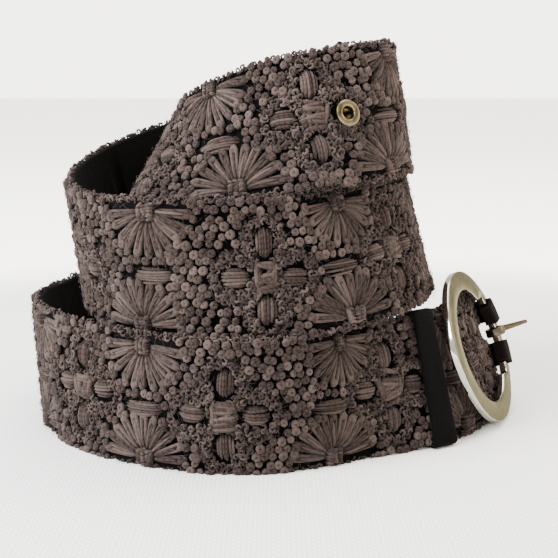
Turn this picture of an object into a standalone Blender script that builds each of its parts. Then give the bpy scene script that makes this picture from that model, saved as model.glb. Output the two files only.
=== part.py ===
"""Embroidered belt coiled on its long edge, with a ring buckle flipped back over its outer face.

The belt is a flat strip laid along a rising spiral. A point of it is given by three distances: along the strip from
the buckle end, across it from its lower edge, and out from its inner face. Every piece on the strip uses these.
"""

import math
from collections import namedtuple

import bmesh
import bpy
import numpy as np
from mathutils import Vector

# Strip
BELT_WIDTH = 0.050
FELT_THICKNESS = 0.0024
YARN_THICKNESS = 0.0026
YARN_EDGE_THICKNESS = 0.0014
YARN_MARGIN = 0.0010
SEAT_GAP = 0.0003
COIL_RADIUS = 0.090
STATION_PITCH = 0.0090
STRIP_END_ROOM = 0.0012

# Eyelets, counted from the free end
EYELET_COUNT = 5
EYELET_PITCH = 0.0585
EYELET_FROM_TIP = 0.1285
EYELET_RADIUS = 0.0050
EYELET_HOLE_RADIUS = 0.0024
EYELET_WALL = 0.0006
EYELET_FLANGE = 0.0008
EYELET_BACK_RADIUS = 0.0040
EYELET_BACK_GAP = 0.0009
EYELET_SIDES = 16

# Ring buckle
RING_RADIUS = 0.0325
RING_BAND = 0.0085
RING_THICKNESS = 0.0032
RING_EDGE = 0.0006
RING_BAR = 0.0040
BAR_HALF_ANGLE = 36.0
BAR_BLEND_ANGLE = 9.0
RING_FROM_END = 0.0350
RING_FLOOR_GAP = 0.0005
RING_SEAT_GAP = 0.0008
RING_SEGMENTS = 60

# Strap end folded round the ring's bar
TAB_WIDTH = 0.028
TAB_THICKNESS = 0.0014
TAB_TAIL = 0.024
TAB_SLOT = 0.0090
TAB_CLEARANCE = 0.0004
TAB_STEPS = 8

# Prong
PRONG_LENGTH = 0.0560
PRONG_ROOT_WIDTH = 0.0036
PRONG_TIP_WIDTH = 0.0018
PRONG_THICKNESS = 0.0020
PRONG_TIP_THICKNESS = 0.0012
PRONG_CLEARANCE = 0.0003
PRONG_LOOP_WALL = 0.0013
PRONG_NOTCH_ROOM = 0.0006
PRONG_SHOULDER_SHARE = 0.94
PRONG_POINT_SHARE = 0.5
PRONG_DROOP = 0.12
PRONG_LOOP_SIDES = 20

# Keeper loop
KEEPER_FROM_END = 0.0700
KEEPER_WIDTH = 0.0110
KEEPER_THICKNESS = 0.0016
KEEPER_CLEARANCE = 0.0007
KEEPER_FLOOR_WALL = 0.0005
KEEPER_CORNER_STEPS = 3
KEEPER_SIDE_STEPS = 4

# One row for each section of the coil, from the buckle end to the free end. azimuth is in degrees from the front
# towards the left, reach is the outer face's lower edge as a share of COIL_RADIUS, rise is its height as a share of
# BELT_WIDTH, and lean is in degrees, outwards at the top.
Section = namedtuple("Section", "azimuth reach rise lean")
COIL = [
    Section(-103, 1.305, 0.065, -22),
    Section(-88, 1.165, 0.065, -22),
    Section(-68, 1.035, 0.065, -20),
    Section(-55, 0.93, 0.06, -17),
    Section(-42, 0.85, 0.035, -11),
    Section(-20, 0.84, 0.00, -2),
    Section(0, 0.86, 0.00, 4),
    Section(45, 0.895, 0.00, -3),
    Section(90, 1.00, 0.00, 4),
    Section(120, 1.05, 0.02, 6),
    Section(150, 1.05, 0.26, 5),
    Section(180, 1.02, 0.62, 1),
    Section(210, 0.97, 0.92, -4),
    Section(240, 0.91, 1.06, -9),
    Section(270, 0.86, 1.11, -15),
    Section(300, 0.83, 1.125, -17),
    Section(330, 0.815, 1.055, -14),
    Section(360, 0.82, 1.02, -7),
    Section(405, 0.785, 0.98, 6),
    Section(450, 0.775, 1.09, 7),
    Section(495, 0.75, 1.34, 4),
    Section(540, 0.73, 1.60, 2),
    Section(585, 0.67, 1.82, -3),
    Section(630, 0.72, 2.12, -7),
    Section(665, 0.78, 2.15, -13),
    Section(695, 0.735, 2.11, -19),
    Section(720, 0.675, 2.03, -24),
    Section(765, 0.645, 1.85, -30),
    Section(800, 0.625, 1.75, -32),
    Section(828, 0.60, 1.67, -30),
]
COIL_SAMPLES = 1600
ACROSS_SHARES = (0, 0.14, 0.38, 0.62, 0.86, 1)
SETTLE_SHARE = 0.012

TOTAL_THICKNESS = FELT_THICKNESS + SEAT_GAP + YARN_THICKNESS


def natural_spline(knots, values):
    """Returns a function that runs smoothly through the values, straight at both ends."""
    x = np.asarray(knots, float)
    y = np.asarray(values, float)
    gap = np.diff(x)
    slope = np.diff(y) / gap
    count = len(x)
    matrix = np.eye(count)
    right = np.zeros(count)
    for i in range(1, count - 1):
        matrix[i, i - 1] = gap[i - 1]
        matrix[i, i] = 2 * (gap[i - 1] + gap[i])
        matrix[i, i + 1] = gap[i]
        right[i] = 6 * (slope[i] - slope[i - 1])
    bend = np.linalg.solve(matrix, right)

    def at(where):
        i = np.clip(np.searchsorted(x, where) - 1, 0, count - 2)
        a = (x[i + 1] - where) / gap[i]
        b = (where - x[i]) / gap[i]
        curve = ((a**3 - a) * bend[i] + (b**3 - b) * bend[i + 1]) * gap[i] ** 2 / 6
        return a * y[i] + b * y[i + 1] + curve

    return at


def unit(vectors):
    return vectors / np.linalg.norm(vectors, axis=-1, keepdims=True)


class Strip:
    """The belt's route in space."""

    def __init__(self):
        azimuth = np.linspace(COIL[0].azimuth, COIL[-1].azimuth, COIL_SAMPLES)
        knots = [row.azimuth for row in COIL]
        reach = natural_spline(knots, [row.reach for row in COIL])(azimuth) * COIL_RADIUS
        rise = natural_spline(knots, [row.rise for row in COIL])(azimuth) - SETTLE_SHARE
        lean = np.radians(natural_spline(knots, [row.lean for row in COIL])(azimuth))
        rise = np.maximum(rise, 0) * BELT_WIDTH
        turn = np.radians(azimuth)
        outward = np.stack([-np.sin(turn), -np.cos(turn), np.zeros_like(turn)], -1)
        up = np.array([0.0, 0.0, 1.0])
        self.base = outward * reach[:, None] + rise[:, None] * up
        forward = unit(np.gradient(self.base, axis=0))
        across = np.cos(lean)[:, None] * up + np.sin(lean)[:, None] * outward
        across = unit(across - np.sum(across * forward, -1, keepdims=True) * forward)
        self.across = across
        self.out = np.cross(across, forward)
        middle = self.base + across * BELT_WIDTH / 2
        steps = np.linalg.norm(np.diff(middle, axis=0), axis=1)
        self.along = np.concatenate([[0.0], np.cumsum(steps)])
        self.length = float(self.along[-1])

    def frame(self, along):
        """The lower outer corner of the strip there, and its directions across and out."""
        rows = []
        for field in (self.base, self.across, self.out):
            rows.append(np.array([np.interp(along, self.along, field[:, k]) for k in range(3)]))
        return rows[0], unit(rows[1]), unit(rows[2])

    def point(self, along, across, out):
        """A point by its distances along the strip, across it and out from its inner face."""
        base, side, face = self.frame(along)
        return Vector(base + side * across + face * (out - TOTAL_THICKNESS))


STRIP = Strip()


def material(name, colour, roughness, metallic=0.0):
    made = bpy.data.materials.new(name)
    made.use_nodes = True
    shader = made.node_tree.nodes["Principled BSDF"]
    shader.inputs["Base Color"].default_value = (*colour, 1.0)
    shader.inputs["Roughness"].default_value = roughness
    shader.inputs["Metallic"].default_value = metallic
    return made


def new_object(name, bm, finish=None):
    bmesh.ops.recalc_face_normals(bm, faces=bm.faces)
    mesh = bpy.data.meshes.new(name)
    bm.to_mesh(mesh)
    bm.free()
    mesh.shade_smooth()
    mesh.set_sharp_from_angle(angle=math.radians(35))
    made = bpy.data.objects.new(name, mesh)
    bpy.context.scene.collection.objects.link(made)
    if finish:
        made.data.materials.append(finish)
    return made


def loft(bm, loops, closed=False):
    """Skins a run of loops with the same number of points, and caps the ends of an open run."""
    rings = [[bm.verts.new(p) for p in loop] for loop in loops]
    pairs = list(zip(rings, rings[1:]))
    if closed:
        pairs.append((rings[-1], rings[0]))
    half = len(rings[0]) // 2
    for low, high in pairs:
        for i in range(len(low)):
            j = (i + 1) % len(low)
            if i < half:
                bm.faces.new([low[i], low[j], high[j]])
                bm.faces.new([low[i], high[j], high[i]])
            else:
                bm.faces.new([low[i], low[j], high[i]])
                bm.faces.new([low[j], high[j], high[i]])
    if not closed:
        bm.faces.new(rings[0][::-1])
        bm.faces.new(rings[-1])


def tube_loft(bm, pairs_of_loops):
    """Skins a run of walls, each an outer loop with an inner one, open through the middle."""
    outer = [[bm.verts.new(p) for p in loops[0]] for loops in pairs_of_loops]
    inner = [[bm.verts.new(p) for p in loops[1]] for loops in pairs_of_loops]
    count = len(outer[0])
    for rings in (outer, inner):
        for low, high in zip(rings, rings[1:]):
            for i in range(count):
                j = (i + 1) % count
                bm.faces.new([low[i], low[j], high[j], high[i]])
    for k in (0, -1):
        for i in range(count):
            j = (i + 1) % count
            bm.faces.new([outer[k][i], outer[k][j], inner[k][j], inner[k][i]])


def modify(made, kind, other):
    """Adds an exact Boolean with a helper, which stays out of the model."""
    step = made.modifiers.new(other.name, "BOOLEAN")
    step.operation = kind
    step.object = other
    step.solver = "EXACT"
    other.hide_render = True
    other.display_type = "WIRE"


def stations():
    """Distances of the strip's sections from the buckle end, which stops short of the folded strap end."""
    fold = RING_RADIUS + TAB_CLEARANCE
    start = RING_FROM_END - math.sqrt(fold**2 - (TAB_WIDTH / 2) ** 2) + STRIP_END_ROOM
    count = round((STRIP.length - start) / STATION_PITCH)
    return [start + (STRIP.length - start) * i / count for i in range(count + 1)]


def settled(p, along):
    """Flattens a lower corner on the surface where the strip stands on it."""
    if STRIP.frame(along)[0][2] <= 0 or p.z < 0:
        p.z = 0.0
    return p


def build_backing(finish):
    bm = bmesh.new()
    loops = []
    for along in stations():
        corners = [STRIP.point(along, share * BELT_WIDTH, 0) for share in ACROSS_SHARES]
        corners += [STRIP.point(along, share * BELT_WIDTH, FELT_THICKNESS) for share in ACROSS_SHARES[::-1]]
        settled(corners[0], along)
        settled(corners[-1], along)
        loops.append(corners)
    loft(bm, loops)
    return new_object("belt_backing", bm, finish)


def build_embroidery(finish):
    low = FELT_THICKNESS + SEAT_GAP
    profile = []
    for share in ACROSS_SHARES:
        profile.append((min(max(share * BELT_WIDTH, YARN_MARGIN), BELT_WIDTH - YARN_MARGIN), low))
    for share in ACROSS_SHARES[::-1]:
        rise = YARN_THICKNESS if 0 < share < 1 else YARN_EDGE_THICKNESS
        profile.append((min(max(share * BELT_WIDTH, YARN_MARGIN), BELT_WIDTH - YARN_MARGIN), low + rise))
    bm = bmesh.new()
    loft(bm, [[STRIP.point(along, across, out) for across, out in profile] for along in stations()])
    return new_object("belt_embroidery", bm, finish)


def turned(bm, centre, axis, profile, sides):
    """Turns a closed profile of radius and height round an axis."""
    across = axis.orthogonal().normalized()
    other = axis.cross(across)
    loops = []
    for k in range(sides):
        angle = math.tau * k / sides
        spoke = across * math.cos(angle) + other * math.sin(angle)
        loops.append([centre + spoke * radius + axis * height for radius, height in profile])
    loft(bm, loops, closed=True)


def build_eyelets(finish, cloths):
    back = -EYELET_BACK_GAP - EYELET_FLANGE
    front = TOTAL_THICKNESS + SEAT_GAP
    barrel = EYELET_HOLE_RADIUS + EYELET_WALL
    profile = [
        (EYELET_HOLE_RADIUS, back),
        (EYELET_BACK_RADIUS, back),
        (EYELET_BACK_RADIUS, -EYELET_BACK_GAP),
        (barrel, -EYELET_BACK_GAP),
        (barrel, front),
        (EYELET_RADIUS, front),
        (EYELET_RADIUS - EYELET_FLANGE / 2, front + EYELET_FLANGE),
        (EYELET_HOLE_RADIUS + EYELET_WALL / 2, front + EYELET_FLANGE),
        (EYELET_HOLE_RADIUS, front),
    ]
    for k in range(EYELET_COUNT):
        along = STRIP.length - EYELET_FROM_TIP - EYELET_PITCH * k
        centre = STRIP.point(along, BELT_WIDTH / 2, 0)
        axis = Vector(STRIP.frame(along)[2])
        bm = bmesh.new()
        turned(bm, centre, axis, profile, EYELET_SIDES)
        new_object(f"eyelet_{k + 1}", bm, finish)
        for cloth in cloths:
            bm = bmesh.new()
            hole = barrel + SEAT_GAP
            reach = TOTAL_THICKNESS
            rim = [centre - axis * reach, centre + axis * (TOTAL_THICKNESS + reach)]
            side = axis.orthogonal().normalized()
            other = axis.cross(side)
            spokes = [math.tau * (n + 0.5) / EYELET_SIDES for n in range(EYELET_SIDES)]
            loops = [[end + (side * math.cos(a) + other * math.sin(a)) * hole for a in spokes] for end in rim]
            loft(bm, loops)
            cutter = new_object(f"cut_{cloth.name}_{k + 1}", bm)
            modify(cloth, "DIFFERENCE", cutter)


class BuckleFrame:
    """The ring's own directions: towards the bar, up the ring and out of its face, from its centre."""

    def __init__(self):
        base, self.up, self.out = (Vector(v) for v in STRIP.frame(RING_FROM_END))
        self.bar = self.up.cross(self.out)
        lift = TOTAL_THICKNESS + RING_SEAT_GAP + RING_THICKNESS / 2
        low = base + self.out * (lift - TOTAL_THICKNESS)
        lowest = RING_RADIUS * self.up.z + RING_THICKNESS / 2 * abs(self.out.z) + RING_FLOOR_GAP
        self.across = (lowest - low.z) / self.up.z
        self.centre = low + self.up * self.across
        behind = Vector(STRIP.frame(0)[0]) - base
        if self.bar.dot(behind) < 0:
            self.bar.negate()

    def polar(self, radius, angle, height):
        """A point by its radius, its angle from the bar's middle, and its height over the ring's middle plane."""
        spoke = self.bar * math.cos(angle) + self.up * math.sin(angle)
        return self.centre + spoke * radius + self.out * height

    def local(self, point):
        """Distance towards the bar, up the ring and out of its face."""
        offset = point - self.centre
        return offset.dot(self.bar), offset.dot(self.up), offset.dot(self.out)


BUCKLE = BuckleFrame()
BAR_RADIUS = RING_RADIUS - RING_BAR / 2


def build_ring(finish):
    half = RING_THICKNESS / 2
    start = math.radians(BAR_HALF_ANGLE)
    blend = math.radians(BAR_BLEND_ANGLE)
    bm = bmesh.new()
    loops = []
    for k in range(RING_SEGMENTS):
        angle = math.tau * k / RING_SEGMENTS
        from_bar = min(angle, math.tau - angle)
        share = min(max((from_bar - start) / blend, 0.0), 1.0)
        band = RING_BAR + (RING_BAND - RING_BAR) * share * share * (3 - 2 * share)
        inner = RING_RADIUS - band
        profile = [
            (RING_RADIUS, -half),
            (RING_RADIUS, half - RING_EDGE),
            (RING_RADIUS - RING_EDGE, half),
            (inner + RING_EDGE, half),
            (inner, half - RING_EDGE),
            (inner, -half),
        ]
        loops.append([BUCKLE.polar(radius, angle, height) for radius, height in profile])
    loft(bm, loops, closed=True)
    return new_object("buckle_ring", bm, finish)


def build_tab(finish):
    near = RING_RADIUS - RING_BAR - TAB_CLEARANCE
    far = RING_RADIUS + TAB_CLEARANCE
    room = RING_THICKNESS / 2 + TAB_CLEARANCE
    under = -SEAT_GAP - TAB_THICKNESS
    foot = BUCKLE.local(STRIP.point(0, BUCKLE.across, under))[2]
    profile = [
        (far + TAB_THICKNESS, foot),
        (far + TAB_THICKNESS, room + TAB_THICKNESS),
        (near - TAB_THICKNESS, room + TAB_THICKNESS),
        (near - TAB_THICKNESS, -room),
        (near, -room),
        (near, room),
        (far, room),
        (far, foot),
    ]
    inner_angle = TAB_SLOT / 2 / BAR_RADIUS
    outer_angle = TAB_WIDTH / 2 / BAR_RADIUS
    folds = []
    for side in (1, -1):
        bm = bmesh.new()
        loops = []
        for k in range(TAB_STEPS + 1):
            angle = side * (inner_angle + (outer_angle - inner_angle) * k / TAB_STEPS)
            loops.append([BUCKLE.polar(radius, angle, height) for radius, height in profile])
        loft(bm, loops)
        folds.append(new_object(f"fold_{side}", bm))
    bm = bmesh.new()
    reach = BUCKLE.local(STRIP.point(0, BUCKLE.across, under))[0] - far - TAB_THICKNESS
    loops = []
    for k in range(TAB_STEPS + 1):
        along = TAB_TAIL * k / TAB_STEPS
        shift = Vector((0, 0, 0))
        if k == 0:
            shift = -BUCKLE.bar * reach
        loop = []
        for across, out in ((-1, under), (1, under), (1, -SEAT_GAP), (-1, -SEAT_GAP)):
            loop.append(STRIP.point(along, BUCKLE.across + across * TAB_WIDTH / 2, out) + shift)
        loops.append(loop)
    loft(bm, loops)
    tab = new_object("buckle_tab", bm, finish)
    for fold in folds:
        modify(tab, "UNION", fold)
    return tab


def prong_loop():
    """Inner and outer radius of the prong's loop, which clears the curved bar."""
    hole = math.hypot(RING_BAR / 2, RING_THICKNESS / 2) + PRONG_CLEARANCE
    hole += RING_RADIUS - math.sqrt(RING_RADIUS**2 - (PRONG_ROOT_WIDTH / 2) ** 2)
    return hole, hole + PRONG_LOOP_WALL


def cut_prong_notch(cloth):
    """Opens the yarn's end so that the prong's loop turns clear of it."""
    pivot = BUCKLE.polar(BAR_RADIUS, 0, 0)
    reach = prong_loop()[1] + PRONG_NOTCH_ROOM
    side = PRONG_ROOT_WIDTH / 2 + PRONG_NOTCH_ROOM
    bm = bmesh.new()
    loops = []
    for along in (-reach, reach):
        corners = [(-side, -reach), (side, -reach), (side, reach), (-side, reach)]
        loops.append([pivot + BUCKLE.bar * along + BUCKLE.up * up + BUCKLE.out * out for up, out in corners])
    loft(bm, loops)
    modify(cloth, "DIFFERENCE", new_object("cut_notch", bm))


def build_prong(finish):
    pivot = BUCKLE.polar(BAR_RADIUS, 0, 0)
    hole, outside = prong_loop()
    half = PRONG_ROOT_WIDTH / 2
    bm = bmesh.new()
    profile = [(hole, -half), (outside, -half), (outside, half), (hole, half)]
    turned(bm, pivot, BUCKLE.up, profile, PRONG_LOOP_SIDES)
    prong = new_object("prong", bm, finish)
    bm = bmesh.new()
    start = (hole + outside) / 2
    rows = [
        (start, PRONG_ROOT_WIDTH - PRONG_CLEARANCE / 2, PRONG_THICKNESS),
        (PRONG_LENGTH * PRONG_SHOULDER_SHARE, PRONG_TIP_WIDTH, PRONG_TIP_THICKNESS),
        (PRONG_LENGTH, PRONG_TIP_WIDTH * PRONG_POINT_SHARE, PRONG_TIP_THICKNESS * PRONG_POINT_SHARE),
    ]
    loops = []
    for reach, width, thickness in rows:
        droop = (reach - start) * PRONG_DROOP
        loop = []
        for k in range(8):
            angle = math.tau * (k + 0.5) / 8
            side = BUCKLE.up * math.cos(angle) * width / 2
            rise = BUCKLE.out * math.sin(angle) * thickness / 2
            loop.append(pivot + BUCKLE.bar * reach - BUCKLE.up * droop + side + rise)
        loops.append(loop)
    loft(bm, loops)
    shaft = new_object("prong_shaft", bm)
    modify(prong, "UNION", shaft)
    return prong


def rounded_loop(low, high, inner, outer, corner):
    """Points of a rounded rectangle across and out, anticlockwise."""
    points = []
    centres = [
        (high - corner, outer - corner, 0),
        (low + corner, outer - corner, 90),
        (low + corner, inner + corner, 180),
        (high - corner, inner + corner, 270),
    ]
    for across, out, start in centres:
        for k in range(KEEPER_CORNER_STEPS + 1):
            angle = math.radians(start + 90 * k / KEEPER_CORNER_STEPS)
            points.append((across + corner * math.cos(angle), out + corner * math.sin(angle)))
        if start in (0, 180):
            far = low + corner if start == 0 else high - corner
            for k in range(1, KEEPER_SIDE_STEPS):
                points.append((across + (far - across) * k / KEEPER_SIDE_STEPS, points[-1][1]))
    return points


def build_keeper(finish):
    room = KEEPER_CLEARANCE
    wall = room + KEEPER_THICKNESS
    hole = rounded_loop(-room, BELT_WIDTH + room, -room, TOTAL_THICKNESS + room, KEEPER_CLEARANCE)
    rim = rounded_loop(-wall, BELT_WIDTH + wall, -wall, TOTAL_THICKNESS + wall, KEEPER_THICKNESS)
    steps = max(round(KEEPER_WIDTH / STATION_PITCH * 2), 2)
    loops = []
    for k in range(steps + 1):
        along = KEEPER_FROM_END + KEEPER_WIDTH * k / steps
        outer = [STRIP.point(along, across, out) for across, out in rim]
        inner = [STRIP.point(along, across, out) for across, out in hole]
        for p in outer:
            p.z = max(p.z, 0.0)
        for p in inner:
            p.z = max(p.z, KEEPER_FLOOR_WALL)
        loops.append((outer, inner))
    bm = bmesh.new()
    tube_loft(bm, loops)
    return new_object("keeper", bm, finish)


def stand_on_origin():
    """Moves the whole belt so that the origin is under the middle of its box, at its lowest point."""
    bpy.context.view_layer.update()
    corners = []
    for made in bpy.context.scene.objects:
        if made.type == "MESH" and not made.hide_render:
            corners += [made.matrix_world @ v.co for v in made.data.vertices]
            corners += [made.matrix_world @ Vector(c) for c in made.bound_box]
    low = [min(c[k] for c in corners) for k in range(3)]
    high = [max(c[k] for c in corners) for k in range(3)]
    shift = Vector(((low[0] + high[0]) / 2, (low[1] + high[1]) / 2, low[2]))
    for made in bpy.context.scene.objects:
        made.location -= shift


def main():
    for old in list(bpy.data.objects):
        bpy.data.objects.remove(old)
    felt = material("black_felt", (0.012, 0.012, 0.013), 0.95)
    yarn = material("taupe_yarn", (0.125, 0.086, 0.074), 0.88)
    brass = material("antique_brass", (0.30, 0.22, 0.12), 0.38, 1.0)
    nickel = material("polished_nickel", (0.62, 0.59, 0.50), 0.16, 1.0)
    strap = material("strap_end", (0.10, 0.075, 0.065), 0.80)
    steel = material("prong_metal", (0.34, 0.28, 0.22), 0.30, 1.0)
    backing = build_backing(felt)
    embroidery = build_embroidery(yarn)
    build_eyelets(brass, (backing, embroidery))
    cut_prong_notch(embroidery)
    build_ring(nickel)
    build_tab(strap)
    build_prong(steel)
    build_keeper(felt)
    stand_on_origin()


main()
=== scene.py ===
"""Embroidered wool belt, coiled on its edge, with a ring buckle flipped back over its outer face.

Every stitch lies on one strip. A point of it is given by three distances: along from the buckle end,
across from the lower edge, and out from the inner face. The strip class turns these into places on the coil.
"""

import logging
import math
from collections.abc import Callable
from dataclasses import dataclass, field
from enum import Enum

import bmesh
import bpy
import numpy as np
from mathutils import Matrix, Vector

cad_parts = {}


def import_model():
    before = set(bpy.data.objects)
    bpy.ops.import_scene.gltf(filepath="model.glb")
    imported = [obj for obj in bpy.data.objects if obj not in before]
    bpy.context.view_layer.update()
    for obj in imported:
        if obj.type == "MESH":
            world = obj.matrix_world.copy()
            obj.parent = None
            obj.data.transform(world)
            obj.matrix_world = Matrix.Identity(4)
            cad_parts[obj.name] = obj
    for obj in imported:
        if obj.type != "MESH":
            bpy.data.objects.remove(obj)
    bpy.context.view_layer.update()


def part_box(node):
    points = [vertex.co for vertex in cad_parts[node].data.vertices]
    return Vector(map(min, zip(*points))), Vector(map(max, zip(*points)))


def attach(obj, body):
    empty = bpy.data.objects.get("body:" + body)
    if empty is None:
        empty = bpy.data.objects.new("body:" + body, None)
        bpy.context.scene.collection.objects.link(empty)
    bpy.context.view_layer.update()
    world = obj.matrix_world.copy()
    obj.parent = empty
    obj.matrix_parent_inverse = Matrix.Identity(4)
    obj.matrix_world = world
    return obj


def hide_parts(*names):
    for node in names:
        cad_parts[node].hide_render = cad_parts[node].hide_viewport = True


LOG = logging.getLogger("belt")

BELT_WIDTH = 0.050
FELT_THICKNESS = 0.0024
TOTAL_THICKNESS = 0.0053
SEAT_GAP = 0.0003
COIL_RADIUS = 0.090
COIL_SAMPLES = 1600
SETTLE_SHARE = 0.012
STATION_PITCH = 0.0090
STRIP_START = 0.0064274
SHOWN_START = -0.0045
EDGE_LAP = 0.0005
MM = 0.001
# From a section's own plane to the strip's: its x runs across, its y out, and its normal along.
SECTION_TURN = Matrix(((0, 0, 1), (1, 0, 0), (0, 1, 0))).to_4x4()
# The yarn is left open round the prong's loop: how far along, and the middle and half of its width across.
NOTCH_ALONG = 12.5 * MM
NOTCH_ACROSS = 29.9 * MM
NOTCH_HALF = 4.2 * MM
BAR_ACROSS = 22.5 * MM


@dataclass(frozen=True)
class Section:
    """One section of the coil: azimuth and lean in degrees, reach and rise as shares."""

    azimuth: float
    reach: float
    rise: float
    lean: float


COIL = (
    Section(-103, 1.305, 0.065, -22),
    Section(-88, 1.165, 0.065, -22),
    Section(-68, 1.035, 0.065, -20),
    Section(-55, 0.93, 0.06, -17),
    Section(-42, 0.85, 0.035, -11),
    Section(-20, 0.84, 0.00, -2),
    Section(0, 0.86, 0.00, 4),
    Section(45, 0.895, 0.00, -3),
    Section(90, 1.00, 0.00, 4),
    Section(120, 1.05, 0.02, 6),
    Section(150, 1.05, 0.26, 5),
    Section(180, 1.02, 0.62, 1),
    Section(210, 0.97, 0.92, -4),
    Section(240, 0.91, 1.06, -9),
    Section(270, 0.86, 1.11, -15),
    Section(300, 0.83, 1.125, -17),
    Section(330, 0.815, 1.055, -14),
    Section(360, 0.82, 1.02, -7),
    Section(405, 0.785, 0.98, 6),
    Section(450, 0.775, 1.09, 7),
    Section(495, 0.75, 1.34, 4),
    Section(540, 0.73, 1.60, 2),
    Section(585, 0.67, 1.82, -3),
    Section(630, 0.72, 2.12, -7),
    Section(665, 0.78, 2.15, -13),
    Section(695, 0.735, 2.11, -19),
    Section(720, 0.675, 2.03, -24),
    Section(765, 0.645, 1.85, -30),
    Section(800, 0.625, 1.75, -32),
    Section(828, 0.60, 1.67, -30),
)


def unit(vectors: np.ndarray) -> np.ndarray:
    """Rows of vectors scaled to length one."""
    return vectors / np.linalg.norm(vectors, axis=-1, keepdims=True)


def natural_spline(knots: list[float], values: list[float]) -> Callable[[np.ndarray], np.ndarray]:
    """Fits a smooth curve through values.

    Args:
        knots: Where the values stand, rising.
        values: The value at each knot.

    Returns:
        A function of place that passes through every value and is straight at both ends.
    """
    x = np.asarray(knots, float)
    y = np.asarray(values, float)
    gap = np.diff(x)
    slope = np.diff(y) / gap
    count = len(x)
    matrix = np.eye(count)
    right = np.zeros(count)
    for i in range(1, count - 1):
        matrix[i, i - 1] = gap[i - 1]
        matrix[i, i] = 2 * (gap[i - 1] + gap[i])
        matrix[i, i + 1] = gap[i]
        right[i] = 6 * (slope[i] - slope[i - 1])
    bend = np.linalg.solve(matrix, right)

    def at(where: np.ndarray) -> np.ndarray:
        """The curve's value at each place."""
        i = np.clip(np.searchsorted(x, where) - 1, 0, count - 2)
        a = (x[i + 1] - where) / gap[i]
        b = (where - x[i]) / gap[i]
        curve = ((a**3 - a) * bend[i] + (b**3 - b) * bend[i + 1]) * gap[i] ** 2 / 6
        return a * y[i] + b * y[i + 1] + curve

    return at


class Strip:
    """The belt's route in space, with the same sections as the part's source."""

    def __init__(self) -> None:
        """Works out the route and moves it onto the CAD backing."""
        azimuth = np.linspace(COIL[0].azimuth, COIL[-1].azimuth, COIL_SAMPLES)
        knots = [row.azimuth for row in COIL]
        reach = natural_spline(knots, [row.reach for row in COIL])(azimuth) * COIL_RADIUS
        rise = natural_spline(knots, [row.rise for row in COIL])(azimuth) - SETTLE_SHARE
        lean = np.radians(natural_spline(knots, [row.lean for row in COIL])(azimuth))
        rise = np.maximum(rise, 0) * BELT_WIDTH
        turn = np.radians(azimuth)
        outward = np.stack([-np.sin(turn), -np.cos(turn), np.zeros_like(turn)], -1)
        up = np.array([0.0, 0.0, 1.0])
        self.base = outward * reach[:, None] + rise[:, None] * up
        forward = unit(np.gradient(self.base, axis=0))
        across = np.cos(lean)[:, None] * up + np.sin(lean)[:, None] * outward
        self.across = unit(across - np.sum(across * forward, -1, keepdims=True) * forward)
        self.out = np.cross(self.across, forward)
        middle = self.base + self.across * BELT_WIDTH / 2
        steps = np.linalg.norm(np.diff(middle, axis=0), axis=1)
        self.along = np.concatenate([[0.0], np.cumsum(steps)])
        self.length = float(self.along[-1])
        self.shift = np.zeros(3)
        self.shift = self._shift_onto_backing()

    def _shift_onto_backing(self) -> np.ndarray:
        """How far this route's own backing is from the CAD one, between the middles of their boxes, in x and
        y only.
        """
        count = round((self.length - STRIP_START) / STATION_PITCH)
        rows = []
        for along in np.linspace(STRIP_START, self.length, count + 1):
            for out in (0.0, FELT_THICKNESS):
                rows += [(along, 0.0, out), (along, BELT_WIDTH, out)]
        own = self.place(np.array(rows))
        low, high = (np.array(corner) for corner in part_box("belt_backing"))
        middle = (low + high) / 2 - (own.min(axis=0) + own.max(axis=0)) / 2
        return np.array([middle[0], middle[1], 0.0])

    def place(self, points: np.ndarray) -> np.ndarray:
        """Puts points on the coil.

        Args:
            points: Rows of along, across and out, in metres.

        Returns:
            Rows of x, y and z in the shared frame, never under the surface the belt stands on.
        """
        found = []
        for rows in (self.base, self.across, self.out):
            found.append(np.stack([np.interp(points[:, 0], self.along, rows[:, k]) for k in range(3)], -1))
        base, side, face = found[0], unit(found[1]), unit(found[2])
        forward = unit(self.base[1] - self.base[0])
        base = base + forward * np.minimum(points[:, 0:1], 0.0)
        made = base + side * points[:, 1:2] + face * (points[:, 2:3] - TOTAL_THICKNESS)
        made = made + self.shift
        made[:, 2] = np.maximum(made[:, 2], 0.0)
        return made

    def point(self, along: float, across: float, out: float) -> Vector:
        """One point on the coil."""
        return Vector(self.place(np.array([[along, across, out]]))[0])

    def place_mesh(self, bm: bmesh.types.BMesh) -> None:
        """Moves a mesh drawn in along, across and out onto the coil."""
        placed = self.place(np.array([v.co[:] for v in bm.verts]))
        for vert, co in zip(bm.verts, placed):
            vert.co = co


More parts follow.
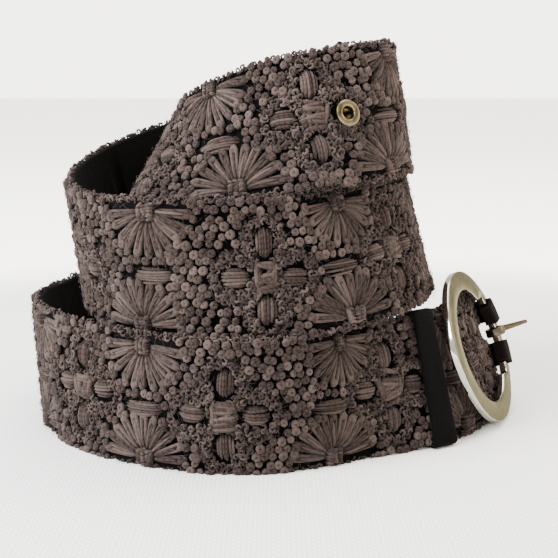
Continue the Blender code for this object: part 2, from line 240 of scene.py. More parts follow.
def sweep(bm: bmesh.types.BMesh, profile: list[Vector], frames: list[Matrix], closed: bool = False) -> None:
    """Extrudes a closed profile through a run of frames, with a UV of round and along.

    Args:
        bm: The mesh to add to.
        profile: Points of the section in its own plane, with z zero.
        frames: One matrix for each stop, from the section's plane to the mesh's space.
        closed: Whether the last stop joins the first.
    """
    slot = bm.verts.layers.int.get("slot") or bm.verts.layers.int.new("slot")
    stop = bm.verts.layers.int.get("stop") or bm.verts.layers.int.new("stop")
    uv = bm.loops.layers.uv.get("UVMap") or bm.loops.layers.uv.new("UVMap")
    old = set(bm.faces)
    ring = bmesh.ops.create_circle(bm, segments=len(profile), radius=1.0)["verts"]
    edges = list({edge for vert in ring for edge in vert.link_edges})
    for index, vert in enumerate(ring):
        vert[slot] = index
        vert.co = frames[0] @ profile[index]
    first = edges
    for number, frame in enumerate(frames[1:], 1):
        made = bmesh.ops.extrude_edge_only(bm, edges=edges)["geom"]
        edges = [part for part in made if isinstance(part, bmesh.types.BMEdge)]
        ring = [part for part in made if isinstance(part, bmesh.types.BMVert)]
        edges = [edge for edge in edges if edge.verts[0] in ring and edge.verts[1] in ring]
        for vert in ring:
            vert[stop] = number
            vert.co = frame @ profile[vert[slot]]
    if closed:
        bmesh.ops.bridge_loops(bm, edges=first + edges)
    else:
        for rim in (first, edges):
            bmesh.ops.contextual_create(bm, geom=rim)
    added = [face for face in bm.faces if face not in old]
    count = len(profile)
    for face in added:
        slots = [loop.vert[slot] for loop in face.loops]
        wraps = max(slots) - min(slots) > count / 2
        for loop in face.loops:
            round_share = loop.vert[slot] + (count if wraps and loop.vert[slot] < count / 2 else 0)
            loop[uv].uv = (round_share / count, loop.vert[stop] / len(frames))
    bmesh.ops.recalc_face_normals(bm, faces=added)


def frames_on(path: list[Vector], up: Vector, sizes: list[float]) -> list[Matrix]:
    """Frames along a path, each with its plane square to the path.

    Args:
        path: The points to pass through.
        up: The direction that the section's y keeps closest to.
        sizes: The section's scale at each point.

    Returns:
        One matrix for each point.
    """
    frames = []
    for i, point in enumerate(path):
        ahead = path[min(i + 1, len(path) - 1)] - path[max(i - 1, 0)]
        ahead.normalize()
        side = up.cross(ahead).normalized()
        top = ahead.cross(side)
        turn = Matrix((side, top, ahead)).transposed().to_4x4()
        frames.append(Matrix.Translation(point) @ turn @ Matrix.Scale(sizes[i], 4))
    return frames


def circle_profile(sides: int, radius: float = 0.5) -> list[Vector]:
    """Points of a regular section."""
    return [
        Vector((radius * math.cos(math.tau * k / sides), radius * math.sin(math.tau * k / sides), 0.0))
        for k in range(sides)
    ]


def rounded_box_profile(width: float, height: float, corner: float, steps: int = 3) -> list[Vector]:
    """Points of a box with rounded corners, round its middle."""
    points = []
    for start, x, y in ((0, 1, 1), (90, -1, 1), (180, -1, -1), (270, 1, -1)):
        for k in range(steps + 1):
            angle = math.radians(start + 90 * k / steps)
            middle = Vector((x * (width / 2 - corner), y * (height / 2 - corner), 0.0))
            points.append(middle + Vector((math.cos(angle), math.sin(angle), 0.0)) * corner)
    return points


def spun(
    outline: list[tuple[float, float, float]], axis: tuple[int, int, int], steps: int
) -> bmesh.types.BMesh:
    """Spins a closed outline once round an axis through the origin.

    Args:
        outline: The section's points.
        axis: The axis to turn round.
        steps: How many steps the turn takes.

    Returns:
        The closed mesh.
    """
    bm = bmesh.new()
    verts = [bm.verts.new(point) for point in outline]
    edges = [bm.edges.new((verts[i - 1], verts[i])) for i in range(len(verts))]
    bmesh.ops.spin(
        bm, geom=verts + edges, cent=(0, 0, 0), axis=axis, dvec=(0, 0, 0), angle=math.tau, steps=steps,
        use_merge=True, use_duplicate=False,
    )
    return bm


class Recipe:
    """Adds and wires the nodes of one tree."""

    def __init__(self, tree: bpy.types.NodeTree) -> None:
        """Keeps the tree."""
        self.tree = tree

    def node(
        self, kind: str, settings: dict[str, object] | None = None, **inputs: object
    ) -> bpy.types.Node:
        """Adds a node.

        Args:
            kind: The node's type.
            settings: Properties to set on it.
            inputs: Values or sockets for its inputs, named in small letters with underscores.

        Returns:
            The node.
        """
        made = self.tree.nodes.new(kind)
        for name, value in (settings or {}).items():
            setattr(made, name, value)
        for name, value in inputs.items():
            self.feed(made.inputs[name.replace("_", " ").title()], value)
        return made

    def feed(self, socket: bpy.types.NodeSocket, value: object) -> None:
        """Links a socket, or sets a value."""
        if isinstance(value, bpy.types.NodeSocket):
            self.tree.links.new(value, socket)
        else:
            socket.default_value = value

    def math(self, operation: str, a: object, b: object = 0.0) -> bpy.types.NodeSocket:
        """A math node's result."""
        made = self.node("ShaderNodeMath", {"operation": operation})
        self.feed(made.inputs[0], a)
        self.feed(made.inputs[1], b)
        return made.outputs[0]

    def weighted(self, *terms: tuple[object, float]) -> bpy.types.NodeSocket:
        """The sum of values, each times its own weight.

        Args:
            terms: Each value with its weight.

        Returns:
            The socket with the sum.
        """
        total = None
        for value, weight in terms:
            part = value if weight == 1.0 else self.math("MULTIPLY", value, weight)
            total = part if total is None else self.math("ADD", total, part)
        return total

    def noise(self, vector: object, scale: float, detail: float = 3.0) -> bpy.types.NodeSocket:
        """Noise from 0 to 1."""
        made = self.node("ShaderNodeTexNoise", vector=vector, scale=scale, detail=detail)
        return made.outputs[0]

    def ramp(self, value: object, low: float, high: float) -> bpy.types.NodeSocket:
        """Stretches a range to 0 to 1, smoothly."""
        made = self.node("ShaderNodeMapRange", {"interpolation_type": "SMOOTHSTEP"}, value=value)
        made.inputs["From Min"].default_value = low
        made.inputs["From Max"].default_value = high
        return made.outputs[0]

    def mix(self, share: object, a: object, b: object) -> bpy.types.NodeSocket:
        """A blend of two colours."""
        made = self.node("ShaderNodeMix", {"data_type": "RGBA"})
        self.feed(made.inputs[0], share)
        self.feed(made.inputs[6], a)
        self.feed(made.inputs[7], b)
        return made.outputs[2]


def new_group(name: str, inputs: dict[str, str], outputs: dict[str, str]) -> tuple:
    """Starts a shader node group.

    Args:
        name: The group's name.
        inputs: For each input, its socket kind. The finishes give their values.
        outputs: For each output, its socket kind.

    Returns:
        The group, a recipe for its tree, its input node and its output node.
    """
    tree = bpy.data.node_groups.new(name, "ShaderNodeTree")
    for direction, sockets in (("INPUT", inputs), ("OUTPUT", outputs)):
        for label, kind in sockets.items():
            tree.interface.new_socket(label, in_out=direction, socket_type=kind)
    return tree, Recipe(tree), tree.nodes.new("NodeGroupInput"), tree.nodes.new("NodeGroupOutput")


FLOAT = "NodeSocketFloat"
COLOUR = "NodeSocketColor"


class Effects:
    """The node groups that several finishes share."""

    def __init__(self) -> None:
        """Builds each group once."""
        self.plied = self._plied_yarn()
        self.nap = self._felt_nap()
        self.wear = self._metal_wear()
        self.weave = self._weave()

    def _plied_yarn(self) -> bpy.types.NodeTree:
        """Two plies twisted together, with painted shade in their grooves and flecks of lighter and darker
        wool.
        """
        tree, recipe, given, result = new_group(
            "plied_yarn",
            {"Turns": FLOAT, "Shade": COLOUR, "Body": COLOUR, "Fleck": COLOUR},
            {"Color": COLOUR, "Height": FLOAT},
        )
        place = recipe.node("ShaderNodeTexCoord")
        split = recipe.node("ShaderNodeSeparateXYZ", vector=place.outputs["UV"])
        tone = recipe.node("ShaderNodeAttribute", {"attribute_name": "tone"}).outputs["Fac"]
        turned = recipe.math("MULTIPLY", split.outputs[1], given.outputs["Turns"])
        spiral = recipe.math("MULTIPLY", recipe.math("ADD", turned, split.outputs[0]), math.tau)
        plies = recipe.math("ABSOLUTE", recipe.math("SINE", spiral))
        fibres = recipe.noise(place.outputs["Object"], 2600.0, 4.0)
        patches = recipe.noise(place.outputs["Object"], 60.0, 2.0)
        flecks = recipe.noise(place.outputs["Object"], 700.0, 2.0)
        # The Shade colour is painted shade in the grooves between the plies.
        groove = recipe.ramp(plies, 0.05, 0.55)
        body = recipe.mix(groove, given.outputs["Shade"], given.outputs["Body"])
        light = recipe.ramp(recipe.weighted((tone, 0.35), (patches, 0.7), (flecks, 0.5)), 0.35, 1.15)
        recipe.feed(result.inputs["Color"], recipe.mix(light, body, given.outputs["Fleck"]))
        recipe.feed(result.inputs["Height"], recipe.weighted((plies, 0.6), (fibres, 0.7)))
        return tree

    def _felt_nap(self) -> bpy.types.NodeTree:
        """Matted fibres with small pills."""
        tree, recipe, given, result = new_group(
            "felt_nap",
            {"Scale": FLOAT, "Body": COLOUR, "Dust": COLOUR},
            {"Color": COLOUR, "Height": FLOAT},
        )
        place = recipe.node("ShaderNodeTexCoord").outputs["Object"]
        scaled = recipe.node("ShaderNodeVectorMath", {"operation": "SCALE"})
        recipe.feed(scaled.inputs[0], place)
        recipe.feed(scaled.inputs["Scale"], given.outputs["Scale"])
        fibres = recipe.noise(scaled.outputs[0], 1500.0, 6.0)
        pills = recipe.noise(scaled.outputs[0], 330.0, 2.0)
        lumps = recipe.noise(scaled.outputs[0], 60.0, 2.0)
        dust = recipe.math("MULTIPLY", recipe.ramp(fibres, 0.5, 0.8), recipe.ramp(lumps, 0.3, 0.8))
        recipe.feed(result.inputs["Color"], recipe.mix(dust, given.outputs["Body"], given.outputs["Dust"]))
        recipe.feed(result.inputs["Height"], recipe.weighted((fibres, 0.6), (pills, 0.8)))
        return tree

    def _metal_wear(self) -> bpy.types.NodeTree:
        """Smears, fine scratches and darker patches of a handled metal."""
        tree, recipe, given, result = new_group(
            "metal_wear",
            {"Roughness": FLOAT, "Spread": FLOAT, "Clean": COLOUR, "Tarnish": COLOUR, "Tarnish Share": FLOAT},
            {"Color": COLOUR, "Roughness": FLOAT, "Height": FLOAT},
        )
        place = recipe.node("ShaderNodeTexCoord").outputs["Object"]
        smears = recipe.noise(place, 90.0, 5.0)
        stretched = recipe.node("ShaderNodeMapping", vector=place, scale=(1.0, 1.0, 9.0)).outputs[0]
        scratches = recipe.noise(stretched, 1700.0, 2.0)
        patches = recipe.ramp(recipe.noise(place, 240.0, 4.0), 0.45, 0.75)
        share = recipe.math("MULTIPLY", patches, given.outputs["Tarnish Share"])
        colour = recipe.mix(share, given.outputs["Clean"], given.outputs["Tarnish"])
        recipe.feed(result.inputs["Color"], colour)
        spread = recipe.math("MULTIPLY", recipe.ramp(smears, 0.3, 0.75), given.outputs["Spread"])
        recipe.feed(result.inputs["Roughness"], recipe.math("ADD", spread, given.outputs["Roughness"]))
        recipe.feed(result.inputs["Height"], recipe.weighted((scratches, 1.0), (patches, 0.5)))
        return tree

    def _weave(self) -> bpy.types.NodeTree:
        """Plain weave on the object's own x and y, in threads a metre."""
        tree, recipe, given, result = new_group(
            "plain_weave",
            {"Threads": FLOAT, "Over": COLOUR, "Between": COLOUR},
            {"Color": COLOUR, "Height": FLOAT},
        )
        place = recipe.node("ShaderNodeTexCoord").outputs["Object"]
        drift = recipe.node("ShaderNodeVectorMath", {"operation": "MULTIPLY_ADD"})
        wander = recipe.node("ShaderNodeTexNoise", vector=place, scale=120.0)
        recipe.feed(drift.inputs[0], wander.outputs["Color"])
        recipe.feed(drift.inputs[1], (0.0006, 0.0006, 0.0))
        recipe.feed(drift.inputs[2], place)
        split = recipe.node("ShaderNodeSeparateXYZ", vector=drift.outputs[0])
        step = recipe.math("MULTIPLY", given.outputs["Threads"], math.pi)
        warp = recipe.math("SINE", recipe.math("MULTIPLY", split.outputs[0], step))
        weft = recipe.math("SINE", recipe.math("MULTIPLY", split.outputs[1], step))
        check = recipe.math("MULTIPLY", warp, weft)
        threads = recipe.math("MAXIMUM", recipe.math("ABSOLUTE", warp), recipe.math("ABSOLUTE", weft))
        height = recipe.weighted((check, 0.35), (threads, 1.0))
        share = recipe.ramp(height, 0.35, 1.1)
        colour = recipe.mix(share, given.outputs["Between"], given.outputs["Over"])
        recipe.feed(result.inputs["Color"], colour)
        recipe.feed(result.inputs["Height"], height)
        return tree


@dataclass(frozen=True)
class Finish:
    """A material: its group of effects, that group's values, its relief and its shader's constants."""

    name: str
    effect: str
    relief: float
    relief_strength: float
    values: dict[str, object]
    constants: dict[str, object]

    def start(self, effects: Effects) -> tuple:
        """Starts the material with its group and its relief wired.

        Args:
            effects: The node groups.

        Returns:
            The material, its recipe, its Principled shader and its group's node.
        """
        made = bpy.data.materials.new(self.name)
        made.use_nodes = True
        recipe = Recipe(made.node_tree)
        shader = made.node_tree.nodes["Principled BSDF"]
        effect = made.node_tree.nodes.new("ShaderNodeGroup")
        effect.node_tree = getattr(effects, self.effect)
        for node, table in ((effect, self.values), (shader, self.constants)):
            for label, value in table.items():
                node.inputs[label].default_value = (*value, 1.0) if isinstance(value, tuple) else value
        bump = recipe.node("ShaderNodeBump", strength=self.relief_strength, distance=self.relief)
        recipe.feed(bump.inputs["Height"], effect.outputs["Height"])
        recipe.feed(shader.inputs["Normal"], bump.outputs[0])
        recipe.feed(shader.inputs["Base Color"], effect.outputs["Color"])
        if "Roughness" in effect.outputs:
            recipe.feed(shader.inputs["Roughness"], effect.outputs["Roughness"])
        return made, recipe, shader, effect

    def make(self, effects: Effects) -> bpy.types.Material:
        """The finished material."""
        return self.start(effects)[0]


WOOL = {"Roughness": 0.92, "Specular IOR Level": 0.08, "Sheen Weight": 0.05, "Sheen Roughness": 0.5}
MATTED = {"Roughness": 1.0, "Specular IOR Level": 0.03, "Sheen Weight": 0.01, "Sheen Roughness": 0.6}
YARN = Finish(
    "taupe_yarn", "plied", relief=0.00020, relief_strength=0.55, constants=WOOL,
    values={
        "Turns": 3.0, "Shade": (0.0070, 0.0043, 0.0037), "Body": (0.0300, 0.0198, 0.0174),
        "Fleck": (0.074, 0.053, 0.047),
    },
)
# The same taupe yarn darkened: painted shade for the matted yarn deep between the flower curls.
UNDER_PAINTED_SHADE = Finish(
    "under_yarn_painted_shade", "plied", relief=0.0004, relief_strength=0.9, constants=WOOL,
    values={
        "Turns": 3.0, "Shade": (0.0020, 0.0013, 0.0011), "Body": (0.0085, 0.0058, 0.0050),
        "Fleck": (0.020, 0.0145, 0.0130),
    },
)
FELT = Finish(
    "black_felt", "nap", relief=0.0004, relief_strength=0.8, constants=MATTED,
    values={"Scale": 1.0, "Body": (0.0018, 0.0016, 0.0016), "Dust": (0.0070, 0.0060, 0.0056)},
)
STRAP = Finish(
    "strap_end", "nap", relief=0.0003, relief_strength=0.6, constants=MATTED,
    values={"Scale": 1.4, "Body": (0.0060, 0.0040, 0.0035), "Dust": (0.022, 0.015, 0.013)},
)
# One polished nickel in two copies: this olive face colour is a painted reflection of the warm surroundings.
NICKEL_FACE_PAINTED_REFLECTION = Finish(
    "nickel_face_painted_reflection", "wear", relief=0.00002, relief_strength=0.25,
    constants={"Metallic": 1.0, "Specular Tint": (0.58, 0.56, 0.47)},
    values={
        "Roughness": 0.20, "Spread": 0.14, "Clean": (0.120, 0.110, 0.080), "Tarnish": (0.065, 0.059, 0.040),
        "Tarnish Share": 0.45,
    },
)
# The same nickel for the ring's walls, made bright as a painted chrome highlight.
NICKEL_WALL_PAINTED_HIGHLIGHT = Finish(
    "nickel_wall_painted_highlight", "wear", relief=0.00001, relief_strength=0.15,
    constants={"Metallic": 1.0, "Specular Tint": (0.85, 0.85, 0.82)},
    values={
        "Roughness": 0.07, "Spread": 0.08, "Clean": (0.42, 0.41, 0.375), "Tarnish": (0.16, 0.145, 0.11),
        "Tarnish Share": 0.35,
    },
)
BRASS = Finish(
    "antique_brass", "wear", relief=0.00004, relief_strength=0.4,
    constants={"Metallic": 1.0, "Specular Tint": (0.55, 0.50, 0.42)},
    values={
        "Roughness": 0.26, "Spread": 0.20, "Clean": (0.15, 0.12, 0.068), "Tarnish": (0.025, 0.021, 0.014),
        "Tarnish Share": 0.85,
    },
)
PRONG_METAL = Finish(
    "prong_metal", "wear", relief=0.00002, relief_strength=0.3,
    constants={"Metallic": 1.0, "Specular Tint": (0.42, 0.39, 0.35)},
    values={
        "Roughness": 0.24, "Spread": 0.16, "Clean": (0.10, 0.080, 0.060), "Tarnish": (0.045, 0.030, 0.022),
        "Tarnish Share": 0.6,
    },
)
CLOTH = Finish(
    "floor_cloth", "weave", relief=0.0005, relief_strength=0.35, constants={"Roughness": 0.9},
    values={"Threads": 640.0, "Over": (0.86, 0.86, 0.85), "Between": (0.66, 0.66, 0.655)},
)


def finish_object(
    name: str, mesh: bpy.types.Mesh, materials: list[bpy.types.Material], body: str
) -> bpy.types.Object:
    """Makes a piece of the object from a finished mesh.

    Args:
        name: The piece's name.
        mesh: Its mesh, in the shared frame.
        materials: Its materials, in order.
        body: The CAD body that it rides on.

    Returns:
        The piece.
    """
    made = bpy.data.objects.new(name, mesh)
    bpy.context.scene.collection.objects.link(made)
    for material in materials:
        mesh.materials.append(material)
    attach(made, body)
    LOG.info("%s: %d faces", name, len(mesh.polygons))
    return made


def mesh_from(bm: bmesh.types.BMesh, name: str, sharp_degrees: float | None = None) -> bpy.types.Mesh:
    """Turns a bmesh into a smooth mesh and frees it.

    Args:
        bm: The mesh to turn.
        name: The mesh's name.
        sharp_degrees: Edges that turn by more than this stay sharp.

    Returns:
        The mesh.
    """
    bmesh.ops.recalc_face_normals(bm, faces=bm.faces)
    mesh = bpy.data.meshes.new(name)
    bm.to_mesh(mesh)
    bm.free()
    mesh.shade_smooth()
    if sharp_degrees is not None:
        mesh.set_sharp_from_angle(angle=math.radians(sharp_degrees))
    return mesh


class Stitch(Enum):
    """The stitches that the embroidery repeats."""

    CURL = "curl"
    KNOT = "knot"
    STRAND = "strand"
    LOOP = "loop"
    FIBRE = "fibre"


@dataclass(frozen=True)
class Template:
    """One stitch as arrays: its points, its faces and their UV."""

    points: np.ndarray
    corners: np.ndarray
    sizes: np.ndarray
    uv: np.ndarray


class StitchBook:
    """Models each stitch once, inside a box one unit long, wide and high, starting on the felt."""

    def __init__(self) -> None:
        """Models them all."""
        self.pages = {
            Stitch.CURL: self._coil(rings=7, sides=4, turns=0.70, radius=0.34, thick=0.36, rise=0.36),
            Stitch.KNOT: self._coil(rings=10, sides=5, turns=1.25, radius=0.23, thick=0.50, rise=0.20),
            Stitch.STRAND: self._strand(rings=8, sides=5, end_size=0.55),
            Stitch.LOOP: self._loop(rings=13, sides=5),
            Stitch.FIBRE: self._hair(),
        }

    def _keep(self, bm: bmesh.types.BMesh) -> Template:
        """Turns a modelled stitch into arrays."""
        bm.verts.index_update()
        uv = bm.loops.layers.uv["UVMap"]
        points = np.array([v.co[:] for v in bm.verts])
        corners = np.array([loop.vert.index for face in bm.faces for loop in face.loops])
        sizes = np.array([len(face.verts) for face in bm.faces])
        places = np.array([loop[uv].uv[:] for face in bm.faces for loop in face.loops])
        bm.free()
        return Template(points, corners, sizes, places)

    def _coil(
        self, rings: int, sides: int, turns: float, radius: float, thick: float, rise: float
    ) -> Template:
        """A piece of yarn coiled on itself, with both ends tucked down."""
        path = []
        sizes = []
        for k in range(rings):
            share = k / (rings - 1)
            angle = math.tau * turns * share
            tuck = 1 - (2 * share - 1) ** 6
            reach = radius * (0.75 + 0.25 * tuck)
            height = thick / 2 + (rise + 0.18 * share) * tuck - 0.1
            path.append(Vector((reach * math.cos(angle), reach * math.sin(angle), height)))
            sizes.append(thick * (0.72 + 0.28 * tuck))
        bm = bmesh.new()
        sweep(bm, circle_profile(sides), frames_on(path, Vector((0.0, 0.0, 1.0)), sizes))
        return self._keep(bm)

    def _strand(self, rings: int, sides: int, end_size: float) -> Template:
        """A straight stitch that rises from the felt and goes back into it."""
        path = []
        sizes = []
        for k in range(rings):
            share = k / (rings - 1)
            arch = 1 - abs(2 * share - 1) ** 3.5
            path.append(Vector((share, 0.0, 0.5 * arch)))
            sizes.append(end_size + (1 - end_size) * arch)
        bm = bmesh.new()
        frames = []
        for point, size in zip(path, sizes):
            frames.append(Matrix.Translation(point) @ SECTION_TURN @ Matrix.Scale(size, 4))
        sweep(bm, circle_profile(sides), frames)
        return self._keep(bm)

    def _hair(self) -> Template:
        """A loose fibre, thin whatever its height is."""
        bm = bmesh.new()
        frames = []
        for share in (0.0, 0.35, 0.7, 1.0):
            arch = 1 - (2 * share - 1) ** 2
            size = Matrix.Diagonal((1.0, 0.12, 1.0, 1.0))
            frames.append(Matrix.Translation((share, 0.4 * math.sin(3 * share), arch)) @ SECTION_TURN @ size)
        sweep(bm, circle_profile(3), frames)
        return self._keep(bm)

    def _loop(self, rings: int, sides: int) -> Template:
        """A petal: the yarn goes out, turns and comes back beside itself."""
        path = []
        thick = 0.36
        for k in range(rings):
            angle = math.pi * (2 * k / (rings - 1) - 1)
            out = 0.5 * (1 + math.cos(angle)) ** 0.62 * 2**0.38
            spread = (0.10 + 0.20 * out) * math.copysign(min(1.0, abs(math.sin(angle)) * 2.2), angle)
            arch = 1 - (1 - out) ** 3
            path.append(Vector((0.04 + 0.9 * out, spread, 0.5 * arch)))
        bm = bmesh.new()
        frames = []
        for i, point in enumerate(path):
            ahead = path[min(i + 1, rings - 1)] - path[max(i - 1, 0)]
            heading = math.atan2(ahead.y * 0.25, ahead.x)
            turn = Matrix.Rotation(heading, 4, "Z") @ SECTION_TURN
            size = Matrix.Diagonal((thick, 0.9, thick * 0.3, 1.0))
            frames.append(Matrix.Translation(point) @ turn @ size)
        sweep(bm, circle_profile(sides), frames)
        return self._keep(bm)


@dataclass
class Bed:
    """Where the stitches go: one row for each, kept by kind."""

    strip: Strip
    book: StitchBook
    seed: int = 7
    rows: dict[str, list[tuple]] = field(default_factory=dict)

    def __post_init__(self) -> None:
        """Starts the bed's own random numbers."""
        self.random = np.random.default_rng(self.seed)

    def vary(self, spread: float) -> float:
        """A small random step either way."""
        return float(self.random.uniform(-spread, spread))

    def add(
        self,
        group: str,
        at: tuple[float, float, float],
        turn: float,
        size: tuple[float, float, float],
        tilt: float = 0.0,
    ) -> None:
        """Adds one stitch.

        Args:
            group: The name of the stitches that it is joined with.
            at: Its start as along, across and out, in metres.
            turn: Its heading on the strip, from along towards across, in radians.
            size: Its length, width and height in metres.
            tilt: How far it leans over its own length, in radians.
        """
        self.rows.setdefault(group, []).append((*at, turn, tilt, *size, self.vary(1.0)))

    def build(
        self, group: str, kind: Stitch, name: str, span: tuple[float, float], material: bpy.types.Material
    ) -> bpy.types.Object | None:
        """Joins a group's stitches between two distances along the strip into one piece.

        Args:
            group: The name of the stitches.
            kind: Which stitch they are.
            name: The piece's name.
            span: The first and last distance along, in metres.
            material: Their finish.

        Returns:
            The piece, or None where there are no stitches.
        """
        rows = np.array(self.rows.get(group, []))
        if len(rows) == 0:
            return None
        rows = rows[(rows[:, 0] >= span[0]) & (rows[:, 0] < span[1])]
        page = self.book.pages[kind]
        count = len(rows)
        local = page.points[None] * rows[:, None, 5:8]
        tilt_cos, tilt_sin = np.cos(rows[:, 4, None]), np.sin(rows[:, 4, None])
        y = local[..., 1] * tilt_cos - local[..., 2] * tilt_sin
        z = local[..., 1] * tilt_sin + local[..., 2] * tilt_cos
        turn_cos, turn_sin = np.cos(rows[:, 3, None]), np.sin(rows[:, 3, None])
        x = local[..., 0]
        placed = np.stack([x * turn_cos - y * turn_sin, x * turn_sin + y * turn_cos, z], -1)
        placed = placed + rows[:, None, 0:3]
        points = self.strip.place(placed.reshape(-1, 3))
        each = len(page.points)
        corners = (page.corners[None] + np.arange(count)[:, None] * each).ravel()
        sizes = np.tile(page.sizes, count)
        mesh = bpy.data.meshes.new(name)
        mesh.vertices.add(len(points))
        mesh.vertices.foreach_set("co", points.astype(np.float32).ravel())
        mesh.loops.add(len(corners))
        mesh.loops.foreach_set("vertex_index", corners.astype(np.int32))
        mesh.polygons.add(len(sizes))
        starts = np.concatenate([[0], np.cumsum(sizes)[:-1]])
        mesh.polygons.foreach_set("loop_start", starts.astype(np.int32))
        mesh.update(calc_edges=True)
        tone = mesh.attributes.new("tone", "FLOAT", "POINT")
        tone.data.foreach_set("value", np.repeat(rows[:, 8], each).astype(np.float32))
        places = np.tile(page.uv[None], (count, 1, 1))
        uv_layer = mesh.uv_layers.new(name="UVMap")
        uv_layer.data.foreach_set("uv", places.astype(np.float32).ravel())
        mesh.shade_smooth()
        return finish_object(name, mesh, [material], "belt")


@dataclass(frozen=True)
class Flower:
    """A quatrefoil's centre along and across, and its stretch along."""

    along: float
    across: float = 0.025
    stretch: float = 1.0


@dataclass(frozen=True)
class Column:
    """Two half daisies with a bar between: where they stand along the strip."""

    bar: float
    top: float
    bottom: float


FLOWERS = (
    Flower(0.0215), Flower(0.0955, 0.0245, 0.95), Flower(0.1682, 0.0225), Flower(0.2340, 0.026, 0.95),
    Flower(0.3080), Flower(0.3870), Flower(0.4660), Flower(0.5450), Flower(0.6185, 0.024, 0.92),
    Flower(0.6800, 0.022, 0.93), Flower(0.7700, 0.021), Flower(0.8480), Flower(0.9290), Flower(1.0080),
    Flower(1.0870, 0.026, 0.95), Flower(1.1640),
)
COLUMNS = (
    Column(0.0585, 0.0585, 0.0585), Column(0.1240, 0.1180, 0.1240), Column(0.2010, 0.2010, 0.2010),
    Column(0.2710, 0.2710, 0.2710), Column(0.3475, 0.3475, 0.3475), Column(0.4265, 0.4265, 0.4265),
    Column(0.5055, 0.5055, 0.5055), Column(0.5820, 0.5820, 0.5820), Column(0.6490, 0.6440, 0.6470),
    Column(0.7243, 0.7253, 0.7300), Column(0.8090, 0.8090, 0.8090), Column(0.8885, 0.8885, 0.8885),
    Column(0.9685, 0.9685, 0.9685), Column(1.0520, 1.0440, 1.0560), Column(1.1250, 1.1290, 1.1190),
    Column(1.1950, 1.1950, 1.1950),
)


